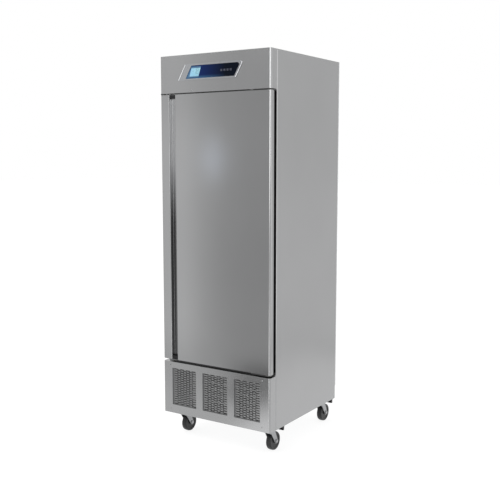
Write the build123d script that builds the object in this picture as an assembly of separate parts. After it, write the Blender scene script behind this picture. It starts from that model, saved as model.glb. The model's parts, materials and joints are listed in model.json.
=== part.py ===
from build123d import *
import os

os.makedirs("parts", exist_ok=True)

# Reach-in freezer on four casters. Millimetres, +Z up, the door faces -Y,
# origin at the centre of the overall box, on the floor.

# Cabinet
WIDTH = 694.0
DEPTH = 739.0
BODY_HEIGHT = 1945.0
SKIN = 1.2
CORNER_R = 9.0
BACK_STEP = 7.0
BACK_STEP_HEIGHT = 76.0
BASE_FRONT_HEIGHT = 290.0
FASCIA_HEIGHT = 195.0
RETURN_LAP = 7.0
NOTCH_R = 12.0
RETURN_GAP = 6.0

# Insulated box
WALL_SIDE = 65.0
WALL_BACK = 60.0
WALL_TOP = 65.0
WALL_FLOOR = 75.0
HEADER_DEPTH = 60.0
OPENING_INSET_Z = 60.0
BREAKER_WIDTH = 18.0
BREAKER_DEPTH = 6.0
LINER_T = 1.0
FRAME_FOOT = 35.0

# Door
DOOR_GAP_BOTTOM = 15.0
DOOR_GAP_TOP = 7.0
DOOR_METAL_DEPTH = 30.0
DOOR_FRAME_DEPTH = 12.0
DOOR_FRAME_INSET = 4.0
DOOR_FRAME_WIDTH = 60.0
GASKET_DEPTH = 13.0
GASKET_INSET = 24.0
GASKET_WIDTH = 22.0
GASKET_NECK = 14.0
GASKET_BASE_T = 4.0
GASKET_HEAD_T = 4.0
SOFT_CLEARANCE = 0.3
PAN_FLANGE_INSET = 50.0
PLUG_DEPTH = 28.0
PLUG_CLEARANCE = 12.0
GROOVE_FROM_EDGE = 58.0
GROOVE_WIDTH = 39.0
GROOVE_DEPTH = 25.0
GROOVE_LIP_R = 4.0
GROOVE_FLOOR_R = 3.0
GROOVE_CAP_HEIGHT = 18.0

# Door hinges
HINGE_INSET = 22.0
HINGE_SETBACK = 22.0
HINGE_PIN_R = 5.0
HINGE_PIN_LENGTH = 22.0
HINGE_FIT = 0.05
BUSH_WALL = 1.95
BUSH_LENGTH = 26.0
BUSH_FLANGE_R = 11.0
BUSH_FLANGE_T = 1.5
HINGE_PLAY = 2.0
HINGE_TOP_T = 4.0
HINGE_BOTTOM_T = 8.0
HINGE_REACH = 128.0
HINGE_FRONT = 10.0
HINGE_PLATE_R = 11.0
HINGE_FLANGE_T = 5.0
HINGE_FLANGE_HEIGHT = 38.0
HINGE_LUG_FROM_EDGE = 118.0
HINGE_LUG_WIDTH = 56.0
HINGE_LUG_FRONT = 2.0

# Base front windows
WINDOW_WIDTH = 163.0
WINDOW_HEIGHT = 208.0
WINDOW_PITCH = 206.0
WINDOW_CENTRE = 0.0
WINDOW_BOTTOM = 48.0
WINDOW_R = 4.0
WINDOW_RECESS = 8.0
SCREEN_LAP = 5.0
SLOT_LENGTH = 28.0
SLOT_WIDTH = 4.6
SLOT_PITCH_X = 40.0
SLOT_PITCH_Z = 13.0

# Control display
DISPLAY_CENTRE_X = -22.0
DISPLAY_BOTTOM = 1812.0
DISPLAY_HEIGHT = 83.0
DISPLAY_WIDTH = 408.0
DISPLAY_SLANT = 48.0
DISPLAY_NOSE = 10.0
DISPLAY_R = 6.0
BEZEL_PROUD = 2.5
PANEL_LEFT_BORDER = 46.0
PANEL_RIGHT_BORDER = 18.0
PANEL_BORDER = 8.5
PANEL_SETBACK = 1.0
PANEL_T = 3.0
PANEL_R = 3.0
LCD_BOTTOM_WIDTH = 72.0
LCD_TOP_WIDTH = 59.0
LCD_MARGIN = 6.0
LCD_T = 2.0
LCD_PROUD = 0.4
KEY_COUNT = 4
KEY_WIDTH = 13.0
KEY_HEIGHT = 11.0
KEY_PITCH = 19.0
KEY_FROM_RIGHT = 30.0
KEY_PROUD = 0.9
KEY_TRAVEL = 0.8
KEY_GAP = 0.3
CONTROLLER_DEPTH = 42.0
CONTROLLER_WALL = 2.0
CUTOUT_CLEARANCE = 0.5

# Screws
SCREW_R = 4.0
SCREW_HEAD_T = 1.6
SCREW_SHANK_R = 1.9
SCREW_LENGTH = 10.0
FASCIA_SCREW_FROM_EDGE = 209.0
FASCIA_SCREW_RISE = 10.0

# Shelves
SHELF_COUNT = 3
SHELF_FIRST = 335.0
SHELF_PITCH = 335.0
SHELF_DEPTH = 516.0
SHELF_FRONT_GAP = 18.0
SHELF_SIDE_GAP = 3.0
SHELF_RIM_R = 4.0
SHELF_RIM_END = 6.0
SHELF_CROSS_R = 3.5
SHELF_WIRE_R = 2.5
SHELF_WIRE_PITCH = 26.0
PILASTER_WIDTH = 22.0
PILASTER_DEPTH = 9.0
PILASTER_FROM_HEADER = 35.0
PILASTER_FROM_BACK = 70.0
PILASTER_END_GAP = 22.0
PILASTER_SLOT = 12.0
PILASTER_SLOT_HEIGHT = 3.0
PILASTER_SLOT_PITCH = 50.0
PILASTER_T = 1.5
CLIP_REACH = 16.0
CLIP_HEIGHT = 18.0
CLIP_WIDTH = 16.0

# Evaporator under the ceiling
EVAP_HEIGHT = 170.0
EVAP_WIDTH = 460.0
EVAP_DEPTH = 430.0
EVAP_FRONT_GAP = 60.0
EVAP_FAN_R = 68.0
EVAP_FAN_CLEARANCE = 5.0
EVAP_FAN_SETBACK = 14.0
EVAP_OUTLET_WIDTH = 322.0
EVAP_OUTLET_HEIGHT = 85.0
EVAP_OUTLET_R = 8.0
EVAP_REAR_GAP = 60.0
COIL_TUBE_R = 5.0
COIL_TUBE_END = 8.0
EVAP_COIL_DEPTH = 150.0
EVAP_COIL_MARGIN = 30.0
EVAP_ROWS = 4
EVAP_FIN_PITCH = 20.0
EVAP_FIN_T = 1.0

# Machine compartment
FRAME_T = 2.0
FRAME_LIP = 20.0
FRAME_UPSTAND = 40.0
DECK_T = 2.0
CONDENSER_WIDTH = 420.0
CONDENSER_HEIGHT = 216.0
CONDENSER_LIFT = 20.0
CONDENSER_DEPTH = 52.0
CONDENSER_ROWS = 6
SHROUD_HEIGHT = 240.0
CONDENSER_SETBACK = 75.0
CONDENSER_FIN_PITCH = 14.0
CONDENSER_FIN_T = 1.0
SHROUD_DEPTH = 34.0
SHROUD_T = 1.5
FAN_R = 92.0
FAN_CLEARANCE = 6.0
FAN_WIDTH = 22.0
HUB_R = 24.0
BLADE_COUNT = 5
BLADE_T = 1.6
BLADE_PITCH = 28.0
BLADE_ROOT = 3.0
SHAFT_R = 3.0
SHAFT_FIT = 0.05
SHAFT_INSET = 2.0
MOTOR_R = 38.0
MOTOR_LENGTH = 62.0
MOTOR_GAP = 4.0
MOTOR_ARM_T = 6.0
MOTOR_ARM_WIDTH = 16.0
MOTOR_FOOT_GAP = 1.0
COMPRESSOR_R = 82.0
COMPRESSOR_HEIGHT = 190.0
COMPRESSOR_DOME_R = 37.0
COMPRESSOR_SEAM_RISE = 100.0
COMPRESSOR_SEAM_T = 8.0
COMPRESSOR_SEAM_PROUD = 4.0
COMPRESSOR_PLATE_X = 212.0
COMPRESSOR_PLATE_Y = 152.0
COMPRESSOR_PLATE_T = 3.0
COMPRESSOR_LIFT = 12.0
COMPRESSOR_FOOT_R = 11.0
COMPRESSOR_FOOT_INSET = 14.0
COMPRESSOR_FOOT_PROUD = 3.0
COMPRESSOR_X = -60.0
COMPRESSOR_FROM_BACK = 190.0
COMPRESSOR_PORT = 60.0
TERMINAL_REACH = 30.0
TERMINAL_WIDTH = 56.0
TERMINAL_HEIGHT = 52.0
TERMINAL_RISE = 40.0
TUBE_R = 4.0
TUBE_BEND = 24.0
TUBE_RUN = 40.0
DRIER_R = 11.0
DRIER_LENGTH = 90.0
VENT_LENGTH = 60.0
VENT_WIDTH = 6.0
VENT_PITCH_X = 76.0
VENT_PITCH_Z = 18.0
VENT_COLUMNS = 7
VENT_ROWS = 8
VENT_BOTTOM = 110.0
GLAND_R = 13.0
GLAND_NECK_R = 10.0
GLAND_NECK_PROUD = 4.0
GLAND_BORE_R = 5.0
GLAND_FROM_SIDE = 87.0
GLAND_RISE = 40.0
GLAND_PROUD = 6.5

# Casters
CASTER_HEIGHT = 140.0
CASTER_INSET_X = 66.0
FRONT_CASTER_INSET = 97.0
REAR_CASTER_INSET = 72.0
CASTER_TRAIL = 43.0
PLATE_X = 72.0
PLATE_Y = 88.0
PLATE_R = 6.0
PLATE_T = 4.0
RACE_R = 27.0
RACE_T = 5.0
KINGPIN_R = 6.0
KINGPIN_HEAD_R = 11.0
KINGPIN_HEAD_T = 3.0
CASTER_FIT = 0.05
CASTER_GAP = 0.3
CROWN_R = 29.0
CROWN_T = 6.0
LEG_T = 3.0
LEG_GAP = 3.0
LEG_TOP_WIDTH = 42.0
LEG_EYE_R = 13.0
WHEEL_R = 50.0
WHEEL_WIDTH = 30.0
TYRE_ROUND = 5.0
HUB_DISH = 4.0
HUB_DISH_R = 34.0
HUB_EYE_R = 13.0
HUB_BOSS_R = 11.0
AXLE_R = 6.0
AXLE_HEAD_R = 10.0
AXLE_HEAD_T = 4.0
PEDAL_REACH = 125.0
PEDAL_WIDTH = 44.0
PEDAL_T = 9.0
PEDAL_PAD_LENGTH = 34.0
PEDAL_PIVOT_Y = 34.0
PEDAL_PIVOT_DROP = 9.0
PEDAL_PIN_R = 3.0
PEDAL_TIP_DROP = 12.0
PEDAL_ARM_WIDTH = 20.0
PEDAL_EAR_T = 3.0
PEDAL_EYE_R = 5.0
PEDAL_SHOE_LENGTH = 11.0
PEDAL_SHOE_WIDTH = 16.0
PEDAL_SHOE_DROP = 16.0

# Levels and edges that follow from the sizes above
OVERHANG = PEDAL_REACH - REAR_CASTER_INSET
FRONT = (BEZEL_PROUD - DEPTH - OVERHANG) / 2
REAR = FRONT + DEPTH
SIDE = WIDTH / 2
NOTCH = DOOR_METAL_DEPTH + DOOR_FRAME_DEPTH + GASKET_DEPTH
CASING = FRONT + NOTCH
SEAM = CASING + RETURN_LAP
BACK = REAR - BACK_STEP
BOTTOM = CASTER_HEIGHT
TOP = BOTTOM + BODY_HEIGHT
DECK = BOTTOM + BASE_FRONT_HEIGHT
FASCIA_BOTTOM = TOP - FASCIA_HEIGHT
DOOR_BOTTOM = DECK + DOOR_GAP_BOTTOM
DOOR_TOP = FASCIA_BOTTOM - DOOR_GAP_TOP
OPEN_X = SIDE - WALL_SIDE
OPEN_BOTTOM = DOOR_BOTTOM + OPENING_INSET_Z
OPEN_TOP = DOOR_TOP - OPENING_INSET_Z
LINER_FLOOR = OPEN_BOTTOM
LINER_TOP = TOP - WALL_TOP
LINER_BACK = REAR - WALL_BACK
HEADER_BACK = CASING + HEADER_DEPTH
HINGE_X = SIDE - HINGE_INSET
HINGE_Y = FRONT + HINGE_SETBACK
FRAME_TOP = BOTTOM + FRAME_T
FAN_Z = FRAME_TOP + SHROUD_HEIGHT / 2
PIN_TOP_PLATE = DOOR_TOP + HINGE_PLAY
PIN_BOTTOM_PLATE = DOOR_BOTTOM - HINGE_PLAY

nodes = {}


def block(x0, x1, y0, y1, z0, z1):
    size = Box(x1 - x0, y1 - y0, z1 - z0)
    return Pos((x0 + x1) / 2, (y0 + y1) / 2, (z0 + z1) / 2) * size


def rod_x(x0, x1, y, z, r):
    return Pos((x0 + x1) / 2, y, z) * Rot(0, 90, 0) * Cylinder(r, x1 - x0)


def rod_y(x, y0, y1, z, r):
    return Pos(x, (y0 + y1) / 2, z) * Rot(90, 0, 0) * Cylinder(r, y1 - y0)


def rod_z(x, y, z0, z1, r):
    return Pos(x, y, (z0 + z1) / 2) * Cylinder(r, z1 - z0)


def upright(face, z0, z1):
    """A plan outline drawn in XY, raised from z0 to z1."""
    return Pos(0, 0, z0) * extrude(face, z1 - z0)


def facing(face, y0, y1):
    """An outline drawn in X and Z, filled from y0 back to y1."""
    return extrude(Plane.XZ.offset(-y1) * face, y1 - y0)


def sideways(face, x0, x1):
    """An outline drawn in Y and Z, filled from x0 to x1."""
    return extrude(Plane.YZ.offset(x0) * face, x1 - x0)


def polygon(points):
    return make_face(Polyline(*points, close=True))


def rectangle(x0, x1, y0, y1):
    return Pos((x0 + x1) / 2, (y0 + y1) / 2) * Rectangle(x1 - x0, y1 - y0)


def group(solids):
    return Compound(children=list(solids))


def frame_ring(x, z0, z1, width, y0, y1):
    """A rectangular ring round the door, x each side of the middle."""
    outer = block(-x, x, y0, y1, z0, z1)
    return outer - block(-x + width, x - width, y0, y1, z0 + width, z1 - width)


def wrap_outline(inset, rear):
    """Plan of a cover that wraps both front corners."""
    half = SIDE - inset
    face = rectangle(-half, half, FRONT + inset, rear)
    return fillet(face.vertices().sort_by(Axis.Y)[:2], CORNER_R - inset)


def wrap_cover(z0, z1, rear, cap_rear):
    """A folded sheet with side returns and short top and bottom returns."""
    shell = upright(wrap_outline(0, rear), z0, z1)
    shell -= upright(wrap_outline(SKIN, rear + SKIN), z0, z1)
    for low in (z0, z1 - SKIN):
        shell += upright(wrap_outline(0, cap_rear), low, low + SKIN)
    return shell


def notch_feet(edge_z, sign):
    """The rounded inner corners where a side return meets the casing edge."""
    feet = []
    y0 = CASING - NOTCH_R
    z0, z1 = sorted((edge_z, edge_z + sign * NOTCH_R))
    for x0 in (-SIDE, SIDE - SKIN):
        foot = block(x0, x0 + SKIN, y0, SEAM, z0, z1)
        foot -= rod_x(x0, x0 + SKIN, y0, edge_z + sign * NOTCH_R, NOTCH_R)
        feet.append(foot)
    return feet


def side_panel(x0):
    panel = block(x0, x0 + SKIN, SEAM, BACK, BOTTOM, TOP - SKIN)
    low = DECK + NOTCH_R
    high = FASCIA_BOTTOM - NOTCH_R
    return panel + block(x0, x0 + SKIN, CASING, SEAM, low, high)


def back_panel():
    z0 = BOTTOM + BACK_STEP_HEIGHT
    pan = block(-SIDE, SIDE, BACK, REAR, z0, TOP)
    pan -= block(-SIDE + SKIN, SIDE - SKIN, BACK, REAR - SKIN, z0 + SKIN, TOP - SKIN)
    slots = Sketch()
    for column in range(VENT_COLUMNS):
        for row in range(VENT_ROWS):
            x = (column - (VENT_COLUMNS - 1) / 2) * VENT_PITCH_X
            z = BOTTOM + VENT_BOTTOM + row * VENT_PITCH_Z
            slots += Pos(x, z) * SlotOverall(VENT_LENGTH, VENT_WIDTH)
    return pan - facing(slots, REAR - SKIN, REAR)


def front_frame():
    """Steel face of the casing round the opening, in four strips."""
    half = SIDE - SKIN
    x = OPEN_X + BREAKER_WIDTH
    z0 = OPEN_BOTTOM - BREAKER_WIDTH
    z1 = OPEN_TOP + BREAKER_WIDTH
    y1 = CASING + SKIN
    strips = [
        block(-half, half, CASING, y1, DECK - FRAME_FOOT, z0),
        block(-half, half, CASING, y1, z1, TOP - SKIN),
        block(-half, -x, CASING, y1, z0, z1),
        block(x, half, CASING, y1, z0, z1),
    ]
    return group(strips)


def breaker_strips():
    """Plastic strips between the steel face and the liner."""
    x0 = OPEN_X
    x1 = OPEN_X + BREAKER_WIDTH
    z0 = OPEN_BOTTOM - BREAKER_WIDTH
    z1 = OPEN_TOP + BREAKER_WIDTH
    y1 = CASING + BREAKER_DEPTH
    return [
        block(-x1, x1, CASING, y1, z0, OPEN_BOTTOM),
        block(-x1, x1, CASING, y1, OPEN_TOP, z1),
        block(-x1, -x0, CASING, y1, OPEN_BOTTOM, OPEN_TOP),
        block(x0, x1, CASING, y1, OPEN_BOTTOM, OPEN_TOP),
    ]


def liner_panels():
    """Stainless inner box: walls, back, floor, ceiling and header."""
    x = OPEN_X
    t = LINER_T
    y0 = CASING + BREAKER_DEPTH
    z0 = LINER_FLOOR
    z1 = LINER_TOP
    walls = []
    for side in (-1, 1):
        x0, x1 = sorted((side * x, side * (x + t)))
        wall = block(x0, x1, HEADER_BACK, LINER_BACK, z0, z1)
        walls.append(wall + block(x0, x1, y0, HEADER_BACK, z0, OPEN_TOP))
    lintel = block(-x - t, x + t, y0, HEADER_BACK, OPEN_TOP, OPEN_TOP + t)
    header = block(-x, x, HEADER_BACK - t, HEADER_BACK, OPEN_TOP + t, z1)
    floor = block(-x - t, x + t, y0, LINER_BACK + t, z0 - t, z0)
    ceiling = block(-x - t, x + t, HEADER_BACK - t, LINER_BACK + t, z1, z1 + t)
    back = block(-x - t, x + t, LINER_BACK, LINER_BACK + t, z0, z1)
    return walls + [lintel, header, floor, ceiling, back]


def foam_insulation():
    half = SIDE - SKIN
    foam = block(-half, half, CASING + SKIN, BACK, DECK, TOP - SKIN)
    foam += block(-half, half, BACK, REAR - SKIN, DECK, TOP - SKIN)
    x = OPEN_X + LINER_T
    z0 = LINER_FLOOR - LINER_T
    foam -= block(-x, x, HEADER_BACK - LINER_T, LINER_BACK + LINER_T, z0, LINER_TOP + LINER_T)
    foam -= block(-x, x, CASING, HEADER_BACK, z0, OPEN_TOP + LINER_T)
    y1 = CASING + BREAKER_DEPTH
    rim = OPEN_X + BREAKER_WIDTH
    rim_low = OPEN_BOTTOM - BREAKER_WIDTH
    return foam - block(-rim, rim, CASING, y1, rim_low, OPEN_TOP + BREAKER_WIDTH)


def display_outline(left, right, edge, radius):
    """Slanted display outline; the right end carries a short nose."""
    lean = DISPLAY_SLANT / DISPLAY_HEIGHT
    z0 = BOTTOM + DISPLAY_BOTTOM + edge
    z1 = BOTTOM + DISPLAY_BOTTOM + DISPLAY_HEIGHT - edge
    x0 = DISPLAY_CENTRE_X - DISPLAY_WIDTH / 2 + left
    x1 = DISPLAY_CENTRE_X + DISPLAY_WIDTH / 2 - right
    nose_z = z1 - DISPLAY_NOSE
    points = [
        (x0 + lean * edge, z0),
        (x1 - lean * (nose_z - z0), z0),
        (x1, nose_z),
        (x1 - DISPLAY_NOSE, z1),
        (x0 + lean * (z1 - z0 + edge), z1),
    ]
    face = polygon(points)
    return fillet(face.vertices(), radius)


def bezel_outline():
    return display_outline(0, 0, 0, DISPLAY_R)


def panel_outline(clearance=0.0):
    return display_outline(
        PANEL_LEFT_BORDER - clearance,
        PANEL_RIGHT_BORDER - clearance,
        PANEL_BORDER - clearance,
        PANEL_R,
    )


def lcd_outline():
    lean = DISPLAY_SLANT / DISPLAY_HEIGHT
    z0 = BOTTOM + DISPLAY_BOTTOM + PANEL_BORDER + LCD_MARGIN
    z1 = BOTTOM + DISPLAY_BOTTOM + DISPLAY_HEIGHT - PANEL_BORDER - LCD_MARGIN
    x0 = DISPLAY_CENTRE_X - DISPLAY_WIDTH / 2 + PANEL_LEFT_BORDER + LCD_MARGIN
    x0 += lean * (PANEL_BORDER + LCD_MARGIN)
    shift = lean * (z1 - z0)
    points = [
        (x0, z0),
        (x0 + LCD_BOTTOM_WIDTH, z0),
        (x0 + shift + LCD_TOP_WIDTH, z1),
        (x0 + shift, z1),
    ]
    return polygon(points)


def key_centres():
    z = BOTTOM + DISPLAY_BOTTOM + DISPLAY_HEIGHT / 2
    x1 = DISPLAY_CENTRE_X + DISPLAY_WIDTH / 2 - PANEL_RIGHT_BORDER - KEY_FROM_RIGHT
    x1 -= DISPLAY_SLANT / 2
    return [(x1 - (KEY_COUNT - 1 - i) * KEY_PITCH, z) for i in range(KEY_COUNT)]


PANEL_FRONT = FRONT - BEZEL_PROUD + PANEL_SETBACK
PANEL_REAR = PANEL_FRONT + PANEL_T


def fascia():
    cover = wrap_cover(FASCIA_BOTTOM, TOP, SEAM, CASING - RETURN_GAP)
    cover += block(-SIDE, SIDE, CASING - RETURN_GAP, SEAM, TOP - SKIN, TOP)
    for foot in notch_feet(FASCIA_BOTTOM, -1):
        cover += foot
    cover -= facing(panel_outline(CUTOUT_CLEARANCE), FRONT - SKIN, FRONT + 2 * SKIN)
    for x, z, y in cover_screw_places():
        if z > DECK:
            cover -= rod_y(x, FRONT - SKIN, FRONT + 2 * SKIN, z, SCREW_SHANK_R)
    return cover


def display_bezel():
    ring = facing(bezel_outline(), FRONT - BEZEL_PROUD, FRONT)
    return ring - facing(panel_outline(), FRONT - BEZEL_PROUD, FRONT)


def display_panel():
    panel = facing(panel_outline(), PANEL_FRONT, PANEL_REAR)
    panel -= facing(lcd_outline(), PANEL_FRONT, PANEL_FRONT + LCD_T)
    for x, z in key_centres():
        half_x = KEY_WIDTH / 2 + KEY_GAP
        half_z = KEY_HEIGHT / 2 + KEY_GAP
        hole = block(x - half_x, x + half_x, PANEL_FRONT, PANEL_REAR, z - half_z, z + half_z)
        panel -= hole
    return panel


def display_window():
    return facing(lcd_outline(), PANEL_FRONT - LCD_PROUD, PANEL_FRONT + LCD_T)


def key(x, z):
    cap = RectangleRounded(KEY_WIDTH, KEY_HEIGHT, KEY_HEIGHT / 4)
    return facing(Pos(x, z) * cap, PANEL_FRONT - KEY_PROUD, PANEL_REAR)


def controller_box():
    """Electronics housing behind the display, open pockets behind the keys."""
    xs = [x for x, z in key_centres()]
    z = key_centres()[0][1]
    half_x = KEY_WIDTH / 2 + KEY_GAP
    half_z = KEY_HEIGHT / 2 + KEY_GAP
    x0 = DISPLAY_CENTRE_X - DISPLAY_WIDTH / 2 + PANEL_LEFT_BORDER + DISPLAY_SLANT
    x1 = max(xs) + half_x + CONTROLLER_WALL
    tall = DISPLAY_HEIGHT / 2 - PANEL_BORDER - CONTROLLER_WALL
    box = block(x0, x1, PANEL_REAR, PANEL_REAR + CONTROLLER_DEPTH, z - tall, z + tall)
    pocket = PANEL_REAR + KEY_TRAVEL + KEY_GAP
    for x in xs:
        box -= block(x - half_x, x + half_x, PANEL_REAR, pocket, z - half_z, z + half_z)
    return box


def window_places():
    return [WINDOW_CENTRE + (i - 1) * WINDOW_PITCH for i in range(3)]


def window_outline(x, grow):
    z = BOTTOM + WINDOW_BOTTOM + WINDOW_HEIGHT / 2
    face = RectangleRounded(WINDOW_WIDTH + 2 * grow, WINDOW_HEIGHT + 2 * grow, WINDOW_R + grow)
    return Pos(x, z) * face


def grille_panel():
    cover = wrap_cover(BOTTOM, DECK, SEAM, FRONT + FRAME_LIP)
    cap = block(-SIDE, SIDE, FRONT + FRAME_LIP, CASING - RETURN_GAP, DECK - SKIN, DECK)
    cover += cap
    for foot in notch_feet(DECK, 1):
        cover += foot
    for x in window_places():
        cover += facing(window_outline(x, SKIN), FRONT + SKIN, FRONT + WINDOW_RECESS)
        cover -= facing(window_outline(x, 0), FRONT - SKIN, FRONT + WINDOW_RECESS)
    for x, z, y in cover_screw_places():
        if z < DECK:
            cover -= rod_y(x, FRONT - SKIN, FRONT + 2 * SKIN, z, SCREW_SHANK_R)
    return cover


def grille_screen(x):
    """A sheet with staggered slots, fixed behind one window."""
    z = BOTTOM + WINDOW_BOTTOM + WINDOW_HEIGHT / 2
    sheet = rectangle(
        x - WINDOW_WIDTH / 2 - SCREEN_LAP,
        x + WINDOW_WIDTH / 2 + SCREEN_LAP,
        z - WINDOW_HEIGHT / 2 - SCREEN_LAP,
        z + WINDOW_HEIGHT / 2 + SCREEN_LAP,
    )
    columns = int((WINDOW_WIDTH - SLOT_LENGTH) / SLOT_PITCH_X) + 1
    rows = int((WINDOW_HEIGHT - SLOT_WIDTH) / (SLOT_PITCH_Z / 2))
    slots = []
    for row in range(rows):
        count = columns - row % 2
        for column in range(count):
            across = (column - (count - 1) / 2) * SLOT_PITCH_X
            up = (row - (rows - 1) / 2) * SLOT_PITCH_Z / 2
            slots.append(Pos(x + across, z + up) * SlotOverall(SLOT_LENGTH, SLOT_WIDTH))
    y0 = FRONT + WINDOW_RECESS
    return facing(sheet - slots, y0, y0 + SKIN)


def cover_screw_places():
    """Fixing screws of the base front and of the fascia: x, z and seat y."""
    low = BOTTOM + WINDOW_BOTTOM / 2
    high = DECK - (BASE_FRONT_HEIGHT - WINDOW_BOTTOM - WINDOW_HEIGHT) / 2
    x = SIDE - WINDOW_BOTTOM
    places = [(sx, z, FRONT) for sx in (-x, x) for z in (low, high)]
    fascia_x = -SIDE + FASCIA_SCREW_FROM_EDGE
    places.append((fascia_x, FASCIA_BOTTOM + FASCIA_SCREW_RISE, FRONT))
    return places


def cover_screw(x, z, y):
    head = rod_y(x, y - SCREW_HEAD_T, y, z, SCREW_R)
    return head + rod_y(x, y, y + SCREW_LENGTH, z, SCREW_SHANK_R)


def hinge_bracket(plate_z0, plate_z1, flange_z0, flange_z1, pin_z0, pin_z1, lug):
    """Hinge plate in the door gap, its flange on the casing face and its pin."""
    x0 = SIDE - HINGE_REACH
    x1 = HINGE_X + HINGE_SETBACK - HINGE_FRONT
    front = FRONT + HINGE_FRONT
    plan = rectangle(x0, x1, front, CASING)
    plan = fillet(plan.vertices().sort_by(Axis.Y)[:2], HINGE_PLATE_R)
    if lug:
        depth = CASING - FRONT - HINGE_LUG_FRONT
        lug_x = SIDE - HINGE_LUG_FROM_EDGE
        half_ellipse = Pos(lug_x, CASING) * Ellipse(HINGE_LUG_WIDTH / 2, depth)
        plan += half_ellipse & rectangle(lug_x - DEPTH, lug_x + DEPTH, FRONT, CASING)
    plate = upright(plan, plate_z0, plate_z1)
    plate += block(x0, x1, CASING - HINGE_FLANGE_T, CASING, flange_z0, flange_z1)
    return plate + rod_z(HINGE_X, HINGE_Y, pin_z0, pin_z1, HINGE_PIN_R)


def hinge_top():
    z1 = PIN_TOP_PLATE + HINGE_TOP_T
    flange = PIN_TOP_PLATE + HINGE_FLANGE_HEIGHT
    pin = DOOR_TOP - HINGE_PIN_LENGTH
    return hinge_bracket(PIN_TOP_PLATE, z1, PIN_TOP_PLATE, flange, pin, z1, True)


def hinge_bottom():
    z0 = PIN_BOTTOM_PLATE - HINGE_BOTTOM_T
    flange = PIN_BOTTOM_PLATE - HINGE_FLANGE_HEIGHT
    pin = DOOR_BOTTOM + HINGE_PIN_LENGTH
    return hinge_bracket(z0, PIN_BOTTOM_PLATE, flange, PIN_BOTTOM_PLATE, z0, pin, False)


def hinge_bush(face_z, inward):
    """Flanged bush; inward is +1 when the door lies above the face."""
    body_end = face_z + inward * BUSH_LENGTH
    flange_end = face_z - inward * BUSH_FLANGE_T
    z0, z1 = sorted((face_z, body_end))
    bush = rod_z(HINGE_X, HINGE_Y, z0, z1, HINGE_PIN_R + HINGE_FIT + BUSH_WALL)
    z0, z1 = sorted((face_z, flange_end))
    bush += rod_z(HINGE_X, HINGE_Y, z0, z1, BUSH_FLANGE_R)
    bore_end = face_z + inward * (HINGE_PIN_LENGTH + HINGE_PLAY)
    z0, z1 = sorted((flange_end, bore_end))
    return bush - rod_z(HINGE_X, HINGE_Y, z0, z1, HINGE_PIN_R + HINGE_FIT)


def bush_pockets():
    r = HINGE_PIN_R + HINGE_FIT + BUSH_WALL
    low = rod_z(HINGE_X, HINGE_Y, DOOR_BOTTOM, DOOR_BOTTOM + BUSH_LENGTH, r)
    high = rod_z(HINGE_X, HINGE_Y, DOOR_TOP - BUSH_LENGTH, DOOR_TOP, r)
    return [low, high]


GROOVE_X0 = -SIDE + GROOVE_FROM_EDGE
GROOVE_X1 = GROOVE_X0 + GROOVE_WIDTH


def door_outline(inset, rear):
    """Plan of the door shell with the handle groove folded into its face."""
    body = wrap_outline(inset, rear)
    depth = FRONT + GROOVE_DEPTH + inset
    body -= rectangle(GROOVE_X0 - inset, GROOVE_X1 + inset, FRONT - 1, depth)
    groove = [
        v
        for v in body.vertices()
        if GROOVE_X0 - inset - 0.01 < v.X < GROOVE_X1 + inset + 0.01
    ]
    mouth = sorted(groove, key=lambda v: v.Y)[:2]
    body = fillet(mouth, GROOVE_LIP_R - inset)
    deep = [
        v
        for v in body.vertices()
        if abs(v.Y - depth) < 0.01 and GROOVE_X0 - inset - 0.01 < v.X < GROOVE_X1 + inset + 0.01
    ]
    return fillet(deep, GROOVE_FLOOR_R + inset)


def door_skin():
    rear = FRONT + DOOR_METAL_DEPTH
    shell = upright(door_outline(0, rear), DOOR_BOTTOM, DOOR_TOP)
    inside = upright(door_outline(SKIN, rear + SKIN), DOOR_BOTTOM + SKIN, DOOR_TOP - SKIN)
    shell -= inside
    for low in (DOOR_BOTTOM, DOOR_TOP - SKIN):
        shell += upright(wrap_outline(0, rear), low, low + SKIN)
    for pocket in bush_pockets():
        shell -= pocket
    return shell


def groove_end_cap(z0, z1):
    """Filler at one end of the groove, set back behind the rounded lips."""
    plan = rectangle(GROOVE_X0, GROOVE_X1, FRONT + GROOVE_LIP_R, FRONT + GROOVE_DEPTH)
    plan = fillet(plan.vertices().sort_by(Axis.Y)[2:], GROOVE_FLOOR_R)
    return upright(plan, z0, z1)


def door_frame():
    x = SIDE - DOOR_FRAME_INSET
    z0 = DOOR_BOTTOM + DOOR_FRAME_INSET
    z1 = DOOR_TOP - DOOR_FRAME_INSET
    y0 = FRONT + DOOR_METAL_DEPTH
    return frame_ring(x, z0, z1, DOOR_FRAME_WIDTH, y0, y0 + DOOR_FRAME_DEPTH)


def door_gasket():
    """Bellows gasket: a base, a narrower neck and a magnet head."""
    x = SIDE - GASKET_INSET
    z0 = DOOR_BOTTOM + GASKET_INSET
    z1 = DOOR_TOP - GASKET_INSET
    y0 = FRONT + DOOR_METAL_DEPTH + DOOR_FRAME_DEPTH
    y1 = CASING - SOFT_CLEARANCE
    step = (GASKET_WIDTH - GASKET_NECK) / 2
    ring = frame_ring(x, z0, z1, GASKET_WIDTH, y0, y0 + GASKET_BASE_T)
    neck = (y0 + GASKET_BASE_T, y1 - GASKET_HEAD_T)
    ring += frame_ring(x - step, z0 + step, z1 - step, GASKET_NECK, *neck)
    return ring + frame_ring(x, z0, z1, GASKET_WIDTH, y1 - GASKET_HEAD_T, y1)


def plug_block(inset, y0, y1):
    x = OPEN_X - PLUG_CLEARANCE - inset
    z0 = OPEN_BOTTOM + PLUG_CLEARANCE + inset
    z1 = OPEN_TOP - PLUG_CLEARANCE - inset
    return block(-x, x, y0, y1, z0, z1)


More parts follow.
